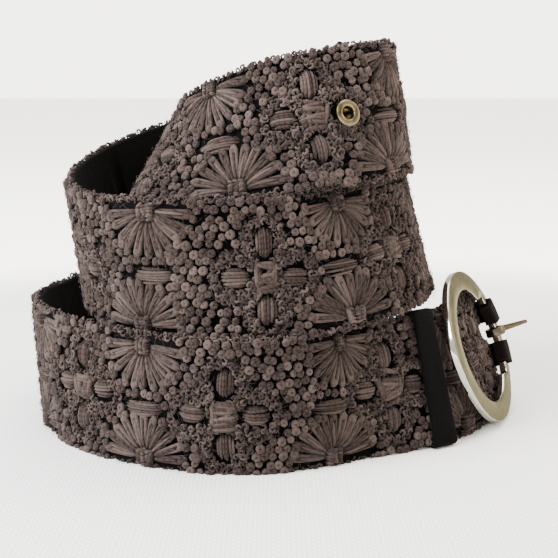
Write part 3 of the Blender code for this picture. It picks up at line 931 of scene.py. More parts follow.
@dataclass
class Embroidery:
    """The wool stitches on the outer face."""

    strip: Strip
    bed: Bed
    yarn: bpy.types.Material
    # under: the same yarn darkened, as painted shade for the matted yarn under the curls.
    under: bpy.types.Material
    felt_top: float = FELT_THICKNESS
    petal_reach: float = 12.3 * MM
    lobe_radius: float = 10.3 * MM
    petal_length: float = 10.6 * MM
    petal_width: float = 6.4 * MM
    pit_margin: float = 1.5 * MM
    pad_half: float = 5.2 * MM
    curl_pitch: float = 1.62 * MM
    curl_size: float = 2.65 * MM
    daisy_reach: float = 16.6 * MM
    daisy_heart: float = 3.4 * MM
    daisy_petals: int = 13
    daisy_inset: float = 3.4 * MM
    bar_length: float = 17.0 * MM
    bar_width: float = 5.4 * MM
    knot_pitch: float = 3.55 * MM
    knot_size: float = 3.9 * MM
    eyelets: tuple[tuple[float, float], ...] = ()
    eyelet_clear: float = 4.3 * MM
    edge_pitch: float = 2.2 * MM
    tuck: float = 0.3 * MM
    end_margin: float = 1.0 * MM
    tip_margin: float = 1.5 * MM
    hem: float = 0.2 * MM
    overhang: float = 0.8 * MM
    row_share: float = 0.866
    curl_lift: float = 0.55 * MM
    curl_flatness: float = 0.95
    rim_inset: float = 1.6 * MM
    rim_drop: float = 0.7 * MM
    petal_strands: int = 6
    petal_height: float = 3.2 * MM
    petal_crown: float = 1.4 * MM
    bar_strands: int = 7
    bar_height: float = 3.0 * MM
    bar_crown: float = 1.0 * MM
    pad_strands: int = 9
    pad_strand: float = 2.1 * MM
    pad_weave: float = 0.35 * MM
    loop_width: float = 4.0 * MM
    loop_height: float = 2.4 * MM
    ray_share: float = 0.92
    ray_width: float = 1.35 * MM
    ray_height: float = 2.6 * MM
    tip_knot_share: float = 0.78
    heart_pitch: float = 2.0 * MM
    heart_size: tuple[float, float, float] = (6.4 * MM, 2.3 * MM, 3.0 * MM)
    wrap_pitch: float = 1.15 * MM
    wrap_size: tuple[float, float, float] = (2.9 * MM, 1.25 * MM, 3.25 * MM)
    fibre_length: float = 2.6 * MM
    fibre_width: float = 0.11 * MM
    fibre_height: float = 1.1 * MM
    fibre_lift: float = 1.9 * MM
    fibre_count: int = 8500

    def free_of_metal(self, along: float, across: float, margin: float = 0.0) -> bool:
        """Whether a place is clear of the eyelets, the prong's loop and both ends."""
        if along < SHOWN_START + self.end_margin or along > self.strip.length - self.tip_margin:
            return False
        if along < NOTCH_ALONG and abs(across - NOTCH_ACROSS) < NOTCH_HALF:
            return False
        for eyelet_along, eyelet_across in self.eyelets:
            if math.hypot(along - eyelet_along, across - eyelet_across) < self.eyelet_clear + margin:
                return False
        return True

    def petal_places(self) -> tuple[tuple[float, float], ...]:
        """The middles of a flower's four petals, from its centre."""
        reach = self.petal_reach
        return (reach, 0), (-reach, 0), (0, reach), (0, -reach)

    def in_lobes(self, x: float, y: float, grow: float = 0.0) -> bool:
        """Whether a place on a flower, from its centre, is inside its outline."""
        for px, py in self.petal_places():
            if math.hypot(x - px, y - py) < self.lobe_radius + grow:
                return True
        return False

    def in_pit(self, x: float, y: float) -> bool:
        """Whether a place on a flower is in a petal's pit or under the centre's pad."""
        long_half = self.petal_length / 2 + self.pit_margin
        short_half = self.petal_width / 2 + self.pit_margin
        for px, py in self.petal_places():
            a, b = (long_half, short_half) if py == 0 else (short_half, long_half)
            if ((x - px) / a) ** 2 + ((y - py) / b) ** 2 < 1:
                return True
        return max(abs(x), abs(y)) < self.pad_half

    def strands(
        self,
        group: str,
        at: tuple[float, float],
        turn: float,
        size: tuple[float, float],
        count: int,
        top: float,
        crown: float,
    ) -> None:
        """Lays strands side by side as a padded satin shape.

        Args:
            group: The group that they join.
            at: The shape's middle, along and across.
            turn: The strands' heading.
            size: The shape's length and width.
            count: How many strands lie across it.
            top: How far out the strands' top is over the felt at the shape's middle.
            crown: How much lower the outer strands lie.
        """
        length, width = size
        strand = width / count * 1.45
        for k in range(count):
            share = 2 * (k + 0.5) / count - 1
            own = length * math.sqrt(max(1 - (share * 0.88) ** 2, 0.12)) * (1 + self.bed.vary(0.04))
            side = share * width / 2 + self.bed.vary(0.1) * strand
            x = at[0] - side * math.sin(turn) - own / 2 * math.cos(turn)
            y = at[1] + side * math.cos(turn) - own / 2 * math.sin(turn)
            if not self.free_of_metal(at[0], at[1]):
                continue
            height = top - crown * share * share
            start = (x, y, self.felt_top - self.tuck)
            self.bed.add(group, start, turn + self.bed.vary(0.05), (own, strand, height + self.tuck))

    def flower(self, flower: Flower) -> None:
        """Stitches one quatrefoil: curls round four pits, a padded petal in each, and the centre's pad."""
        row = self.curl_pitch * self.row_share
        span = self.petal_reach + self.lobe_radius
        steps = int(span / row) + 1
        for j in range(-steps, steps + 1):
            for i in range(-steps, steps + 1):
                x = (i + 0.5 * (j % 2)) * self.curl_pitch + self.bed.vary(0.35) * self.curl_pitch
                y = j * row + self.bed.vary(0.35) * row
                if not self.in_lobes(x, y) or self.in_pit(x, y):
                    continue
                along = flower.along + x * flower.stretch
                across = flower.across + y
                if not self.hem < across < BELT_WIDTH - self.hem or not self.free_of_metal(along, across):
                    continue
                edge = 0.0 if self.in_lobes(x, y, -self.rim_inset) else self.rim_drop
                size = self.curl_size * (1 + self.bed.vary(0.22))
                out = self.felt_top + self.curl_lift - edge + self.bed.vary(0.25 * MM)
                lean = self.bed.vary(0.5)
                heading = self.bed.vary(math.pi)
                box = (size, size, size * self.curl_flatness)
                self.bed.add("curls", (along, across, out), heading, box, lean)
        for angle in range(0, 360, 90):
            turn = math.radians(angle) + self.bed.vary(0.08)
            reach = self.petal_reach
            at = (
                flower.along + reach * math.cos(turn) * flower.stretch,
                flower.across + reach * math.sin(turn),
            )
            length = self.petal_length * (1 + self.bed.vary(0.05))
            width = self.petal_width * (1 + self.bed.vary(0.06))
            box = (length, width)
            self.strands("petals", at, turn, box, self.petal_strands, self.petal_height, self.petal_crown)
        self.pad(flower)

    def pad(self, flower: Flower) -> None:
        """Stitches the wrapped square in a flower's centre."""
        for layer, turn in enumerate((math.pi / 2, 0.0)):
            for k in range(self.pad_strands):
                share = 2 * (k + 0.5) / self.pad_strands - 1
                side = share * self.pad_half * 0.95
                own = 2 * self.pad_half * (1.0 + self.bed.vary(0.08))
                heading = turn + self.bed.vary(0.30)
                x = flower.along - side * math.sin(turn) - own / 2 * math.cos(turn)
                y = flower.across + side * math.cos(turn) - own / 2 * math.sin(turn)
                x += self.bed.vary(0.3 * MM)
                y += self.bed.vary(0.3 * MM)
                if not self.free_of_metal(flower.along, flower.across, 0.002):
                    continue
                top = (2.5 + 0.45 * layer - 0.5 * share * share) * MM
                weave = (k + layer) % 2 * self.pad_weave
                self.bed.add("pads", (x, y, self.felt_top), heading, (own, self.pad_strand, top + weave))

    def daisy(self, along: float, at_top: bool) -> None:
        """Stitches a half daisy that opens from an edge towards the middle."""
        across = BELT_WIDTH - self.daisy_inset if at_top else self.daisy_inset
        middle = -math.pi / 2 if at_top else math.pi / 2
        spread = math.radians(204)
        for k in range(self.daisy_petals):
            turn = middle + spread * (k / (self.daisy_petals - 1) - 0.5) + self.bed.vary(0.04)
            side_room = abs(math.cos(turn))
            reach = (self.daisy_reach + side_room * 1.2 * MM) * (1 + self.bed.vary(0.05))
            length = reach - self.daisy_heart
            x = along + self.daisy_heart * math.cos(turn)
            y = across + self.daisy_heart * math.sin(turn)
            tip = (along + reach * math.cos(turn), across + reach * math.sin(turn))
            clear = self.free_of_metal(x, y) and self.free_of_metal(*tip, 1.0 * MM)
            if not clear or not 0.5 * MM < tip[1] < 49.5 * MM:
                continue
            out = self.felt_top - 0.2 * MM
            width = self.loop_width * (1 + self.bed.vary(0.08))
            self.bed.add("loops", (x, y, out), turn, (length, width, self.loop_height))
            ray = (length * self.ray_share, self.ray_width, self.ray_height)
            self.bed.add("rays", (x, y, out), turn + self.bed.vary(0.02), ray)
            if 1.0 * MM < tip[1] < 49.0 * MM:
                size = self.knot_size * self.tip_knot_share
                at = (*tip, self.felt_top)
                self.bed.add("knots", at, self.bed.vary(math.pi), (size, size, size * 0.8))
        for k in range(-1, 2):
            x = along + k * self.heart_pitch
            y = across + (-1 if at_top else 1) * 0.5 * MM
            if self.free_of_metal(x, y):
                turn = math.pi / 2 + self.bed.vary(0.25)
                at = (x, y - 3.0 * MM, self.felt_top)
                self.bed.add("wraps", at, turn, self.heart_size)
                for n in range(5):
                    across_at = y - 2.4 * MM + n * self.wrap_pitch
                    at = (x - 1.4 * MM, across_at, self.felt_top)
                    self.bed.add("wraps", at, self.bed.vary(0.3), self.wrap_size)

    def column(self, column: Column) -> None:
        """Stitches both half daisies and the satin bar between them."""
        self.daisy(column.top, True)
        self.daisy(column.bottom, False)
        at = (column.bar, BAR_ACROSS)
        size = (self.bar_length * (1 + self.bed.vary(0.05)), self.bar_width)
        turn = self.bed.vary(0.06)
        self.strands("petals", at, turn, size, self.bar_strands, self.bar_height, self.bar_crown)

    def taken(self, along: float, across: float) -> bool:
        """Whether a place already has a flower, a daisy or a bar."""
        for flower in FLOWERS:
            if abs(along - flower.along) < 0.026:
                if self.in_lobes((along - flower.along) / flower.stretch, across - flower.across, 0.5 * MM):
                    return True
                if max(abs(along - flower.along), abs(across - flower.across)) < self.pad_half + 1.2 * MM:
                    return True
        for column in COLUMNS:
            hearts = (column.top, BELT_WIDTH - self.daisy_inset), (column.bottom, self.daisy_inset)
            for centre, height in hearts:
                if math.hypot(along - centre, across - height) < self.daisy_reach + 0.3 * MM:
                    return True
            beside = abs(along - column.bar) < self.bar_length / 2 + 0.6 * MM
            if beside and abs(across - BAR_ACROSS) < 3.4 * MM:
                return True
        return False

    def knots(self) -> None:
        """Scatters French knots over what the motifs leave free."""
        row = self.knot_pitch * self.row_share
        for j in range(int(BELT_WIDTH / row) + 1):
            for i in range(-1, int(self.strip.length / self.knot_pitch) + 1):
                along = (i + 0.5 * (j % 2)) * self.knot_pitch + self.bed.vary(0.22) * self.knot_pitch
                across = 0.3 * MM + j * row + self.bed.vary(0.2) * row
                if across > BELT_WIDTH - self.hem or not self.free_of_metal(along, across):
                    continue
                if self.taken(along, across):
                    continue
                if self.bed.random.uniform() < 0.03:
                    continue
                size = self.knot_size * (1 + self.bed.vary(0.14))
                at = (along, across, self.felt_top - 0.1 * MM)
                heading = self.bed.vary(math.pi)
                self.bed.add("knots", at, heading, (size, size, size * 0.95), self.bed.vary(0.3))

    def edges(self) -> None:
        """Lays loose curls over both edges, so that no bare felt shows along them."""
        for across in (0.1 * MM, BELT_WIDTH - 0.1 * MM, -self.overhang, BELT_WIDTH + self.overhang):
            for along in np.arange(SHOWN_START + 2 * MM, self.strip.length - 2 * MM, self.edge_pitch):
                place = along + self.bed.vary(0.4) * self.edge_pitch
                if not self.free_of_metal(place, across):
                    continue
                size = self.curl_size * (1 + self.bed.vary(0.2))
                drop = 0.7 * MM if 0 < across < BELT_WIDTH else 1.6 * MM
                side = across + self.bed.vary(0.3 * MM)
                at = (place, side, self.felt_top - drop + self.bed.vary(0.2 * MM))
                self.bed.add("edges", at, self.bed.vary(math.pi), (size, size, size), self.bed.vary(0.5))

    def fibres(self) -> None:
        """Scatters loose hairs of wool over the stitches and past both edges."""
        for _ in range(self.fibre_count):
            along = float(self.bed.random.uniform(SHOWN_START + 2 * MM, self.strip.length - 3 * MM))
            across = float(self.bed.random.uniform(-self.hem, BELT_WIDTH + self.hem))
            if not self.free_of_metal(along, across):
                continue
            length = self.fibre_length * (1 + self.bed.vary(0.5))
            height = self.fibre_height * (1 + self.bed.vary(0.5))
            at = (along, across, self.felt_top + self.fibre_lift + self.bed.vary(0.5 * MM))
            heading = self.bed.vary(math.pi)
            self.bed.add("fibres", at, heading, (length, self.fibre_width, height), self.bed.vary(0.9))

    def ground(self) -> bpy.types.Object:
        """Builds the matted yarn under the curls of every flower, darkened as painted shade."""
        bm = bmesh.new()
        for flower in FLOWERS:
            part = bmesh.new()
            bmesh.ops.create_grid(part, x_segments=36, y_segments=36, size=22.5 * MM)
            gone = []
            for vert in part.verts:
                x, y = vert.co.x, vert.co.y
                along, across = flower.along + x * flower.stretch, flower.across + y
                clear = self.free_of_metal(along, across, 0.4 * MM)
                clear = clear and 0.8 * MM < across < BELT_WIDTH - 0.8 * MM
                if not clear or not self.in_lobes(x, y, 0.9 * MM) or self.in_pit(x, y):
                    gone.append(vert)
                inner = self.in_lobes(x, y, -1.3 * MM)
                out = self.felt_top + (0.95 * MM if inner else 0.1 * MM) + self.bed.vary(0.2 * MM)
                vert.co = (along, across, out)
            bmesh.ops.delete(part, geom=gone, context="VERTS")
            mesh = bpy.data.meshes.new("part")
            part.to_mesh(mesh)
            part.free()
            bm.from_mesh(mesh)
            bpy.data.meshes.remove(mesh)
        uv = bm.loops.layers.uv.new("UVMap")
        for face in bm.faces:
            for loop in face.loops:
                loop[uv].uv = (loop.vert.co.x * 500, loop.vert.co.y * 90)
        bmesh.ops.recalc_face_normals(bm, faces=bm.faces)
        self.strip.place_mesh(bm)
        return finish_object("flower_ground", mesh_from(bm, "flower_ground"), [self.under], "belt")

    def build(self) -> list[bpy.types.Object]:
        """Stitches the whole belt.

        Returns:
            The embroidery's pieces.
        """
        for flower in FLOWERS:
            self.flower(flower)
        for column in COLUMNS:
            self.column(column)
        self.knots()
        self.edges()
        self.fibres()
        pieces = [self.ground()]
        third = self.strip.length / 3
        plan = (
            ("curls", Stitch.CURL, "flower_curls"), ("petals", Stitch.STRAND, "satin_petals"),
            ("pads", Stitch.STRAND, "flower_pads"), ("loops", Stitch.LOOP, "daisy_loops"),
            ("rays", Stitch.STRAND, "daisy_rays"), ("wraps", Stitch.STRAND, "daisy_wraps"),
            ("knots", Stitch.KNOT, "french_knots"), ("edges", Stitch.CURL, "edge_curls"),
            ("fibres", Stitch.FIBRE, "loose_fibres"),
        )
        for group, kind, name in plan:
            spans = [(0.0, self.strip.length)]
            if group in ("curls", "knots", "fibres"):
                spans = [(0.0, third), (third, 2 * third), (2 * third, self.strip.length)]
            for number, span in enumerate(spans, 1):
                label = f"{name}_{number}" if len(spans) > 1 else name
                made = self.bed.build(group, kind, label, span, self.yarn)
                if made:
                    pieces.append(made)
        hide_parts("belt_embroidery")
        return pieces


@dataclass
class Backing:
    """The black felt strip."""

    strip: Strip
    felt: bpy.types.Material
    pitch: float = 3.0 * MM
    corner: float = 0.9 * MM
    eyelets: tuple[tuple[float, float], ...] = ()
    hole: float = 3.2 * MM

    def build(self) -> bpy.types.Object:
        """Sweeps the strip and cuts the eyelet holes.

        Returns:
            The felt piece.
        """
        profile = [
            Vector((p.x + BELT_WIDTH / 2, p.y + FELT_THICKNESS / 2, 0.0))
            for p in rounded_box_profile(BELT_WIDTH + 2 * EDGE_LAP, FELT_THICKNESS, self.corner)
        ]
        count = round((self.strip.length - SHOWN_START) / self.pitch)
        stops = np.linspace(SHOWN_START, self.strip.length, count + 1)
        frames = [Matrix.Translation((along, 0.0, 0.0)) @ SECTION_TURN for along in stops]
        bm = bmesh.new()
        sweep(bm, profile, frames)
        self.strip.place_mesh(bm)
        made = finish_object("felt_strip", mesh_from(bm, "felt_strip", 50), [self.felt], "belt")
        self._cut_holes(made)
        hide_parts("belt_backing")
        return made

    def _cut_holes(self, made: bpy.types.Object) -> None:
        """Cuts the eyelet holes and keeps the result in the mesh."""
        cutters = bmesh.new()
        for along, across in self.eyelets:
            low = self.strip.point(along, across, -0.01)
            high = self.strip.point(along, across, 0.02)
            axis = (high - low).normalized()
            turn = axis.to_track_quat("Z", "Y").to_matrix().to_4x4()
            place = Matrix.Translation((low + high) / 2) @ turn
            bmesh.ops.create_cone(
                cutters, cap_ends=True, segments=24, radius1=self.hole, radius2=self.hole, depth=16 * MM,
                matrix=place,
            )
        mesh = mesh_from(cutters, "hole_cutters")
        cutter = bpy.data.objects.new("hole_cutters", mesh)
        bpy.context.scene.collection.objects.link(cutter)
        step = made.modifiers.new("holes", "BOOLEAN")
        step.operation = "DIFFERENCE"
        step.solver = "EXACT"
        step.object = cutter
        bpy.context.view_layer.update()
        cut = bpy.data.meshes.new_from_object(made.evaluated_get(bpy.context.evaluated_depsgraph_get()))
        made.modifiers.remove(step)
        made.data = cut
        bpy.data.objects.remove(cutter)


class BuckleFrame:
    """The ring's own directions: towards the bar, up the ring and out of its face, from its centre."""

    def __init__(self, strip: Strip, buckle: "Buckle") -> None:
        """Finds the ring's place on the strip, as the part's source does."""
        low = strip.point(buckle.ring_from_end, 0.0, TOTAL_THICKNESS)
        self.up = (strip.point(buckle.ring_from_end, BELT_WIDTH, TOTAL_THICKNESS) - low).normalized()
        inner = strip.point(buckle.ring_from_end, BELT_WIDTH, 0.0)
        outer = strip.point(buckle.ring_from_end, BELT_WIDTH, TOTAL_THICKNESS)
        self.out = (outer - inner).normalized()
        self.bar = self.up.cross(self.out)
        low = low + self.out * (buckle.seat_gap + buckle.thickness / 2)
        lowest = buckle.radius * self.up.z + buckle.thickness / 2 * abs(self.out.z) + buckle.floor_gap
        self.across = (lowest - low.z) / self.up.z
        self.centre = low + self.up * self.across
        if self.bar.dot(strip.point(0.0, 0.0, TOTAL_THICKNESS) - low) < 0:
            self.bar.negate()

    def matrix(self, origin: Vector | None = None) -> Matrix:
        """From bar, up and out distances to the shared frame."""
        turn = Matrix((self.bar, self.up, self.out)).transposed().to_4x4()
        return Matrix.Translation(origin or self.centre) @ turn


@dataclass
class Buckle:
    """The ring, its prong, the strap end folded round it and the keeper."""

    strip: Strip
    # face and wall are one nickel: face carries a painted reflection, wall a painted chrome highlight.
    face: bpy.types.Material
    wall: bpy.types.Material
    prong_metal: bpy.types.Material
    strap: bpy.types.Material
    felt: bpy.types.Material
    radius: float = 32.5 * MM
    band: float = 8.5 * MM
    thickness: float = 3.2 * MM
    bar_band: float = 4.0 * MM
    bar_half_degrees: float = 36.0
    bar_blend_degrees: float = 9.0
    ring_from_end: float = 35.0 * MM
    floor_gap: float = 0.5 * MM
    seat_gap: float = 0.8 * MM
    prong_length: float = 56.0 * MM
    prong_root: float = 3.6 * MM
    prong_tip: float = 1.8 * MM
    prong_thick: float = 2.0 * MM
    prong_tip_thick: float = 1.2 * MM
    prong_wall: float = 1.3 * MM
    prong_gap: float = 0.3 * MM
    prong_droop: float = 0.12
    tab_width: float = 28.0 * MM
    tab_thickness: float = 1.4 * MM
    tab_tail: float = 24.0 * MM
    tab_slot: float = 9.0 * MM
    tab_gap: float = 0.4 * MM
    keeper_from_end: float = 70.0 * MM
    keeper_width: float = 11.0 * MM
    keeper_thickness: float = 1.6 * MM
    keeper_gap: float = 0.7 * MM

    def __post_init__(self) -> None:
        """Finds the ring's frame."""
        self.place = BuckleFrame(self.strip, self)

    def ring(self) -> bpy.types.Object:
        """Spins the ring, with the narrow bar on the side that the strap holds."""
        half = self.thickness / 2
        middle = self.radius - self.band / 2
        profile = rounded_box_profile(self.band, self.thickness, 0.7 * MM, 4)
        bm = spun([(middle + p.x, 0.0, p.y) for p in profile], (0, 0, 1), 120)
        start = math.radians(self.bar_half_degrees)
        blend = math.radians(self.bar_blend_degrees)
        for vert in bm.verts:
            angle = abs(math.atan2(vert.co.y, vert.co.x))
            share = min(max((angle - start) / blend, 0.0), 1.0)
            band = self.bar_band + (self.band - self.bar_band) * share * share * (3 - 2 * share)
            flat = math.hypot(vert.co.x, vert.co.y)
            inward = (self.radius - flat) / self.band
            new = self.radius - inward * band
            vert.co.x *= new / flat
            vert.co.y *= new / flat
            if vert.co.z > half / 2:
                vert.co.z += 0.25 * MM * math.sin(math.pi * min(max(inward, 0.0), 1.0))
        bmesh.ops.recalc_face_normals(bm, faces=bm.faces)
        # Faces square to the ring's axis take the olive face nickel with painted reflection; the walls take
        # the bright wall nickel as painted highlight.
        for face in bm.faces:
            face.material_index = 0 if abs(face.normal.z) > 0.75 else 1
        bm.transform(self.place.matrix())
        mesh = mesh_from(bm, "ring_buckle", 40)
        made = finish_object("ring_buckle", mesh, [self.face, self.wall], "belt")
        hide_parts("buckle_ring")
        return made

    def prong(self) -> bpy.types.Object:
        """Makes the prong: a wrapped loop round the bar and a tapered pin."""
        hole = math.hypot(self.bar_band / 2, self.thickness / 2) + self.prong_gap
        hole += self.radius - math.sqrt(self.radius**2 - (self.prong_root / 2) ** 2)
        outside = hole + self.prong_wall
        profile = rounded_box_profile(self.prong_wall, self.prong_root, 0.45 * MM, 3)
        bm = spun([((hole + outside) / 2 + p.x, p.y, 0.0) for p in profile], (0, 1, 0), 48)
        path = [(hole + outside) / 2, outside + 2 * MM, self.prong_length * 0.35, self.prong_length * 0.7]
        path += [self.prong_length * 0.94, self.prong_length * 0.98, self.prong_length]
        frames = []
        for reach in path:
            share = reach / self.prong_length
            width = self.prong_root + (self.prong_tip - self.prong_root) * share**0.7
            thick = self.prong_thick + (self.prong_tip_thick - self.prong_thick) * share
            if share > 0.95:
                width *= 0.86 if share < 0.99 else 0.4
                thick *= 0.86 if share < 0.99 else 0.4
            droop = (reach - path[0]) * self.prong_droop
            size = Matrix.Diagonal((width, thick, 1, 1))
            frames.append(Matrix.Translation((reach, -droop, 0)) @ SECTION_TURN @ size)
        sweep(bm, circle_profile(20), frames)
        pivot = self.place.centre + self.place.bar * (self.radius - self.bar_band / 2)
        bm.transform(self.place.matrix(pivot))
        mesh = mesh_from(bm, "prong_pin", 40)
        made = finish_object("prong_pin", mesh, [self.prong_metal], "prong")
        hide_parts("prong")
        return made

    def tab(self) -> bpy.types.Object:
        """Folds the soft strap end round the bar, with a slot for the prong."""
        near = self.radius - self.bar_band - self.tab_gap
        far = self.radius + self.tab_gap
        room = self.thickness / 2 + self.tab_gap
        under = -SEAT_GAP - self.tab_thickness
        inverse = self.place.matrix().inverted()
        foot = (inverse @ self.strip.point(0.0, self.place.across, under)).z
        thick = self.tab_thickness
        inset = 0.2 * MM
        nook = 0.3 * MM
        hem = 0.4 * MM
        bend = thick + inset
        outline = [(far + thick, foot)]
        for start, middle in ((0, far - inset), (90, near + inset)):
            for k in range(7):
                angle = math.radians(start + 90 * k / 6)
                outline.append((middle + bend * math.cos(angle), room - inset + bend * math.sin(angle)))
        outline += [(near - thick, -room + hem), (near - thick / 2, -room), (near, -room + hem)]
        outline += [(near, room - nook), (near + nook, room), (far - nook, room), (far, room - nook)]
        outline.append((far, foot))
        profile = [Vector((x, y, 0.0)) for x, y in outline]
        middle = self.radius - self.bar_band / 2
        swing = Matrix(((1, 0, 0), (0, 0, 1), (0, 1, 0))).to_4x4()
        bm = bmesh.new()
        for side in (1, -1):
            frames = []
            for k in range(9):
                reach = self.tab_slot / 2 + (self.tab_width - self.tab_slot) / 2 * k / 8
                frames.append(self.place.matrix() @ Matrix.Rotation(side * reach / middle, 4, "Z") @ swing)
            sweep(bm, profile, frames)
        tail = bmesh.new()
        section = [
            Vector((p.x + self.place.across, p.y + under + thick / 2, 0.0))
            for p in rounded_box_profile(self.tab_width, thick, 0.5 * MM, 3)
        ]
        stops = np.linspace(0.0, self.tab_tail, 13)
        sweep(tail, section, [Matrix.Translation((along, 0.0, 0.0)) @ SECTION_TURN for along in stops])
        start = set(v for v in tail.verts if v.co.x < 0.1 * MM)
        self.strip.place_mesh(tail)
        reach = (inverse @ self.strip.point(0.0, self.place.across, under)).x - far - thick
        for vert in start:
            vert.co -= self.place.bar * reach
        part = bpy.data.meshes.new("tail")
        tail.to_mesh(part)
        tail.free()
        bm.from_mesh(part)
        bpy.data.meshes.remove(part)
        made = finish_object("strap_fold", mesh_from(bm, "strap_fold", 55), [self.strap], "belt")
        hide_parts("buckle_tab")
        return made

    def keeper(self) -> bpy.types.Object:
        """Wraps the felt keeper round the strap."""
        middle = self.keeper_gap + self.keeper_thickness / 2
        path = rounded_box_profile(BELT_WIDTH + 2 * middle, TOTAL_THICKNESS + 2 * middle, middle * 0.95, 4)
        dense = []
        for i, here in enumerate(path):
            after = path[(i + 1) % len(path)]
            pieces = max(int((after - here).length / (4 * MM)), 1)
            dense += [here.lerp(after, n / pieces) for n in range(pieces)]
        section = rounded_box_profile(self.keeper_thickness, self.keeper_width, 0.55 * MM, 2)
        frames = []
        for i, here in enumerate(dense):
            ahead = (dense[(i + 1) % len(dense)] - dense[i - 1]).normalized()
            outward = Vector((ahead.y, -ahead.x, 0.0))
            along = self.keeper_from_end + self.keeper_width / 2
            place = Vector((along, here.x + BELT_WIDTH / 2, here.y + TOTAL_THICKNESS / 2))
            turn = Matrix(((0, 1, 0), (outward.x, 0, ahead.x), (outward.y, 0, ahead.y))).to_4x4()
            frames.append(Matrix.Translation(place) @ turn)
        bm = bmesh.new()
        sweep(bm, section, frames, closed=True)
        bmesh.ops.subdivide_edges(
            bm,
            edges=[e for e in bm.edges if abs(e.verts[0].co.x - e.verts[1].co.x) > self.keeper_width / 2],
            cuts=4,
            use_grid_fill=True,
        )
        self.strip.place_mesh(bm)
        made = finish_object("keeper_band", mesh_from(bm, "keeper_band", 50), [self.felt], "belt")
        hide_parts("keeper")
        return made


@dataclass
class Eyelets:
    """The rolled brass rims."""

    strip: Strip
    brass: bpy.types.Material
    places: tuple[tuple[float, float], ...]
    hole: float = 2.4 * MM
    rim: float = 5.0 * MM
    back_rim: float = 4.0 * MM
    wall: float = 0.6 * MM
    back_gap: float = 0.9 * MM
    flange: float = 0.8 * MM

    def _outline(self) -> list[tuple[float, float]]:
        """The rolled rim's section, as radius and out."""
        front = TOTAL_THICKNESS + SEAT_GAP
        back = -self.back_gap
        base = back - self.flange
        outline = [(self.hole, back - self.flange * 0.6), (self.hole + 0.3 * MM, base)]
        outline += [(self.back_rim - 0.3 * MM, base), (self.back_rim, back - 0.4 * MM)]
        barrel = self.hole + self.wall
        outline += [(self.back_rim - 0.2 * MM, back), (barrel, back), (barrel, front)]
        outline += [(self.rim - 0.15 * MM, front - 0.1 * MM), (self.rim, front + 0.15 * MM)]
        middle = (self.rim + self.hole) / 2
        half = (self.rim - self.hole) / 2
        for k in range(7):
            angle = math.pi * (k + 0.5) / 8
            outline.append((middle + half * math.cos(angle), front + self.flange * math.sin(angle)))
        outline.append((self.hole, front + 0.1 * MM))
        return outline

    def build(self) -> list[bpy.types.Object]:
        """Spins each eyelet's rim and barrel.

        Returns:
            The eyelets.
        """
        made = []
        outline = self._outline()
        for number, (along, across) in enumerate(self.places, 1):
            bm = spun([(radius, 0.0, out) for radius, out in outline], (0, 0, 1), 40)
            low = self.strip.point(along, across, 0.0)
            axis = (self.strip.point(along, across, 0.01) - low).normalized()
            bm.transform(Matrix.Translation(low) @ axis.to_track_quat("Z", "Y").to_matrix().to_4x4())
            mesh = mesh_from(bm, f"brass_eyelet_{number}", 45)
            piece = finish_object(f"brass_eyelet_{number}", mesh, [self.brass], "belt")
            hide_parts(f"eyelet_{number}")
            made.append(piece)
        return made


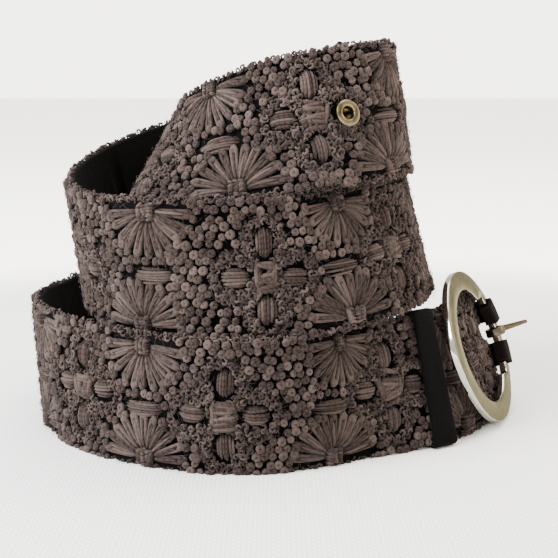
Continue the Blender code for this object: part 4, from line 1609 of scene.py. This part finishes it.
@dataclass
class Studio:
    """The floor, the light and the camera."""

    effects: Effects
    lens: float = 75.7
    camera_place: tuple[float, float, float] = (-0.0074, -0.4920, 0.145)
    camera_pitch: float = 79.97
    backdrop: float = 5.0
    ambient: float = 1.7

    def build(self) -> None:
        """Sets them up."""
        self._floor()
        self._light()
        data = bpy.data.cameras.new("camera")
        data.lens = self.lens
        data.sensor_width = 36.0
        camera = bpy.data.objects.new("camera", data)
        camera.location = self.camera_place
        camera.rotation_euler = (math.radians(self.camera_pitch), 0.0, 0.0)
        bpy.context.scene.collection.objects.link(camera)
        bpy.context.scene.camera = camera

    def _floor(self) -> None:
        """Lays the pale woven cloth, which fades into the background."""
        bm = bmesh.new()
        bmesh.ops.create_grid(bm, x_segments=1, y_segments=1, size=6.0)
        mesh = mesh_from(bm, "floor")
        made, recipe, shader, effect = CLOTH.start(self.effects)
        place = recipe.node("ShaderNodeTexCoord").outputs["Object"]
        distance = recipe.node("ShaderNodeVectorMath", {"operation": "LENGTH"}, vector=place)
        far = recipe.ramp(distance.outputs["Value"], 0.30, 0.46)
        colour = recipe.mix(far, effect.outputs["Color"], (0.90, 0.89, 0.84, 1.0))
        recipe.feed(shader.inputs["Base Color"], colour)
        shader.inputs["Emission Color"].default_value = (1.0, 0.97, 0.90, 1.0)
        recipe.feed(shader.inputs["Emission Strength"], recipe.math("MULTIPLY", far, 2.1))
        mesh.materials.append(made)
        floor = bpy.data.objects.new("floor", mesh)
        bpy.context.scene.collection.objects.link(floor)

    def _light(self) -> None:
        """Sets the soft daylight."""
        world = bpy.data.worlds.new("world")
        world.use_nodes = True
        background = world.node_tree.nodes["Background"]
        background.inputs["Color"].default_value = (1.0, 0.975, 0.925, 1.0)
        recipe = Recipe(world.node_tree)
        seen = recipe.node("ShaderNodeLightPath").outputs["Is Camera Ray"]
        strength = recipe.weighted((seen, self.backdrop - self.ambient), (self.ambient, 1.0))
        recipe.feed(background.inputs["Strength"], strength)
        bpy.context.scene.world = world
        for name, place, size, power, colour in (
            ("window", (-0.9, -0.55, 0.8), 0.7, 58.0, (0.96, 0.985, 1.0)),
            ("sky", (0.1, 0.3, 1.3), 1.2, 30.0, (1.0, 0.98, 0.95)),
            ("warm_side", (0.9, 0.2, 0.45), 0.6, 9.0, (1.0, 0.80, 0.55)),
        ):
            data = bpy.data.lights.new(name, "AREA")
            data.energy = power
            data.size = size
            data.color = colour
            lamp = bpy.data.objects.new(name, data)
            lamp.location = place
            aim = Vector((0.0, 0.0, 0.06)) - Vector(place)
            lamp.rotation_euler = aim.to_track_quat("-Z", "Y").to_euler()
            bpy.context.scene.collection.objects.link(lamp)


@dataclass(frozen=True)
class EyeletRow:
    """How the eyelets are spaced from the free end."""

    count: int = 5
    pitch: float = 58.5 * MM
    from_tip: float = 128.5 * MM

    def places(self, strip: Strip) -> tuple[tuple[float, float], ...]:
        """Each eyelet's distance along and across."""
        last = strip.length - self.from_tip
        return tuple((last - self.pitch * k, BELT_WIDTH / 2) for k in range(self.count))


def main() -> None:
    """Builds the belt piece by piece, then the studio."""
    logging.basicConfig(level=logging.INFO, format="%(message)s")
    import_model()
    strip = Strip()
    LOG.info("strip %.1f mm long, shifted by %s", strip.length / MM, np.round(strip.shift / MM, 3))
    effects = Effects()
    places = EyeletRow().places(strip)
    felt = FELT.make(effects)
    Backing(strip, felt, eyelets=places).build()
    bed = Bed(strip, StitchBook())
    Embroidery(strip, bed, YARN.make(effects), UNDER_PAINTED_SHADE.make(effects), eyelets=places).build()
    Eyelets(strip, BRASS.make(effects), places).build()
    buckle = Buckle(
        strip, NICKEL_FACE_PAINTED_REFLECTION.make(effects), NICKEL_WALL_PAINTED_HIGHLIGHT.make(effects), PRONG_METAL.make(effects),
        STRAP.make(effects), felt,
    )
    buckle.ring()
    buckle.prong()
    buckle.keeper()
    buckle.tab()
    Studio(effects).build()


if __name__ == "__main__":
    main()
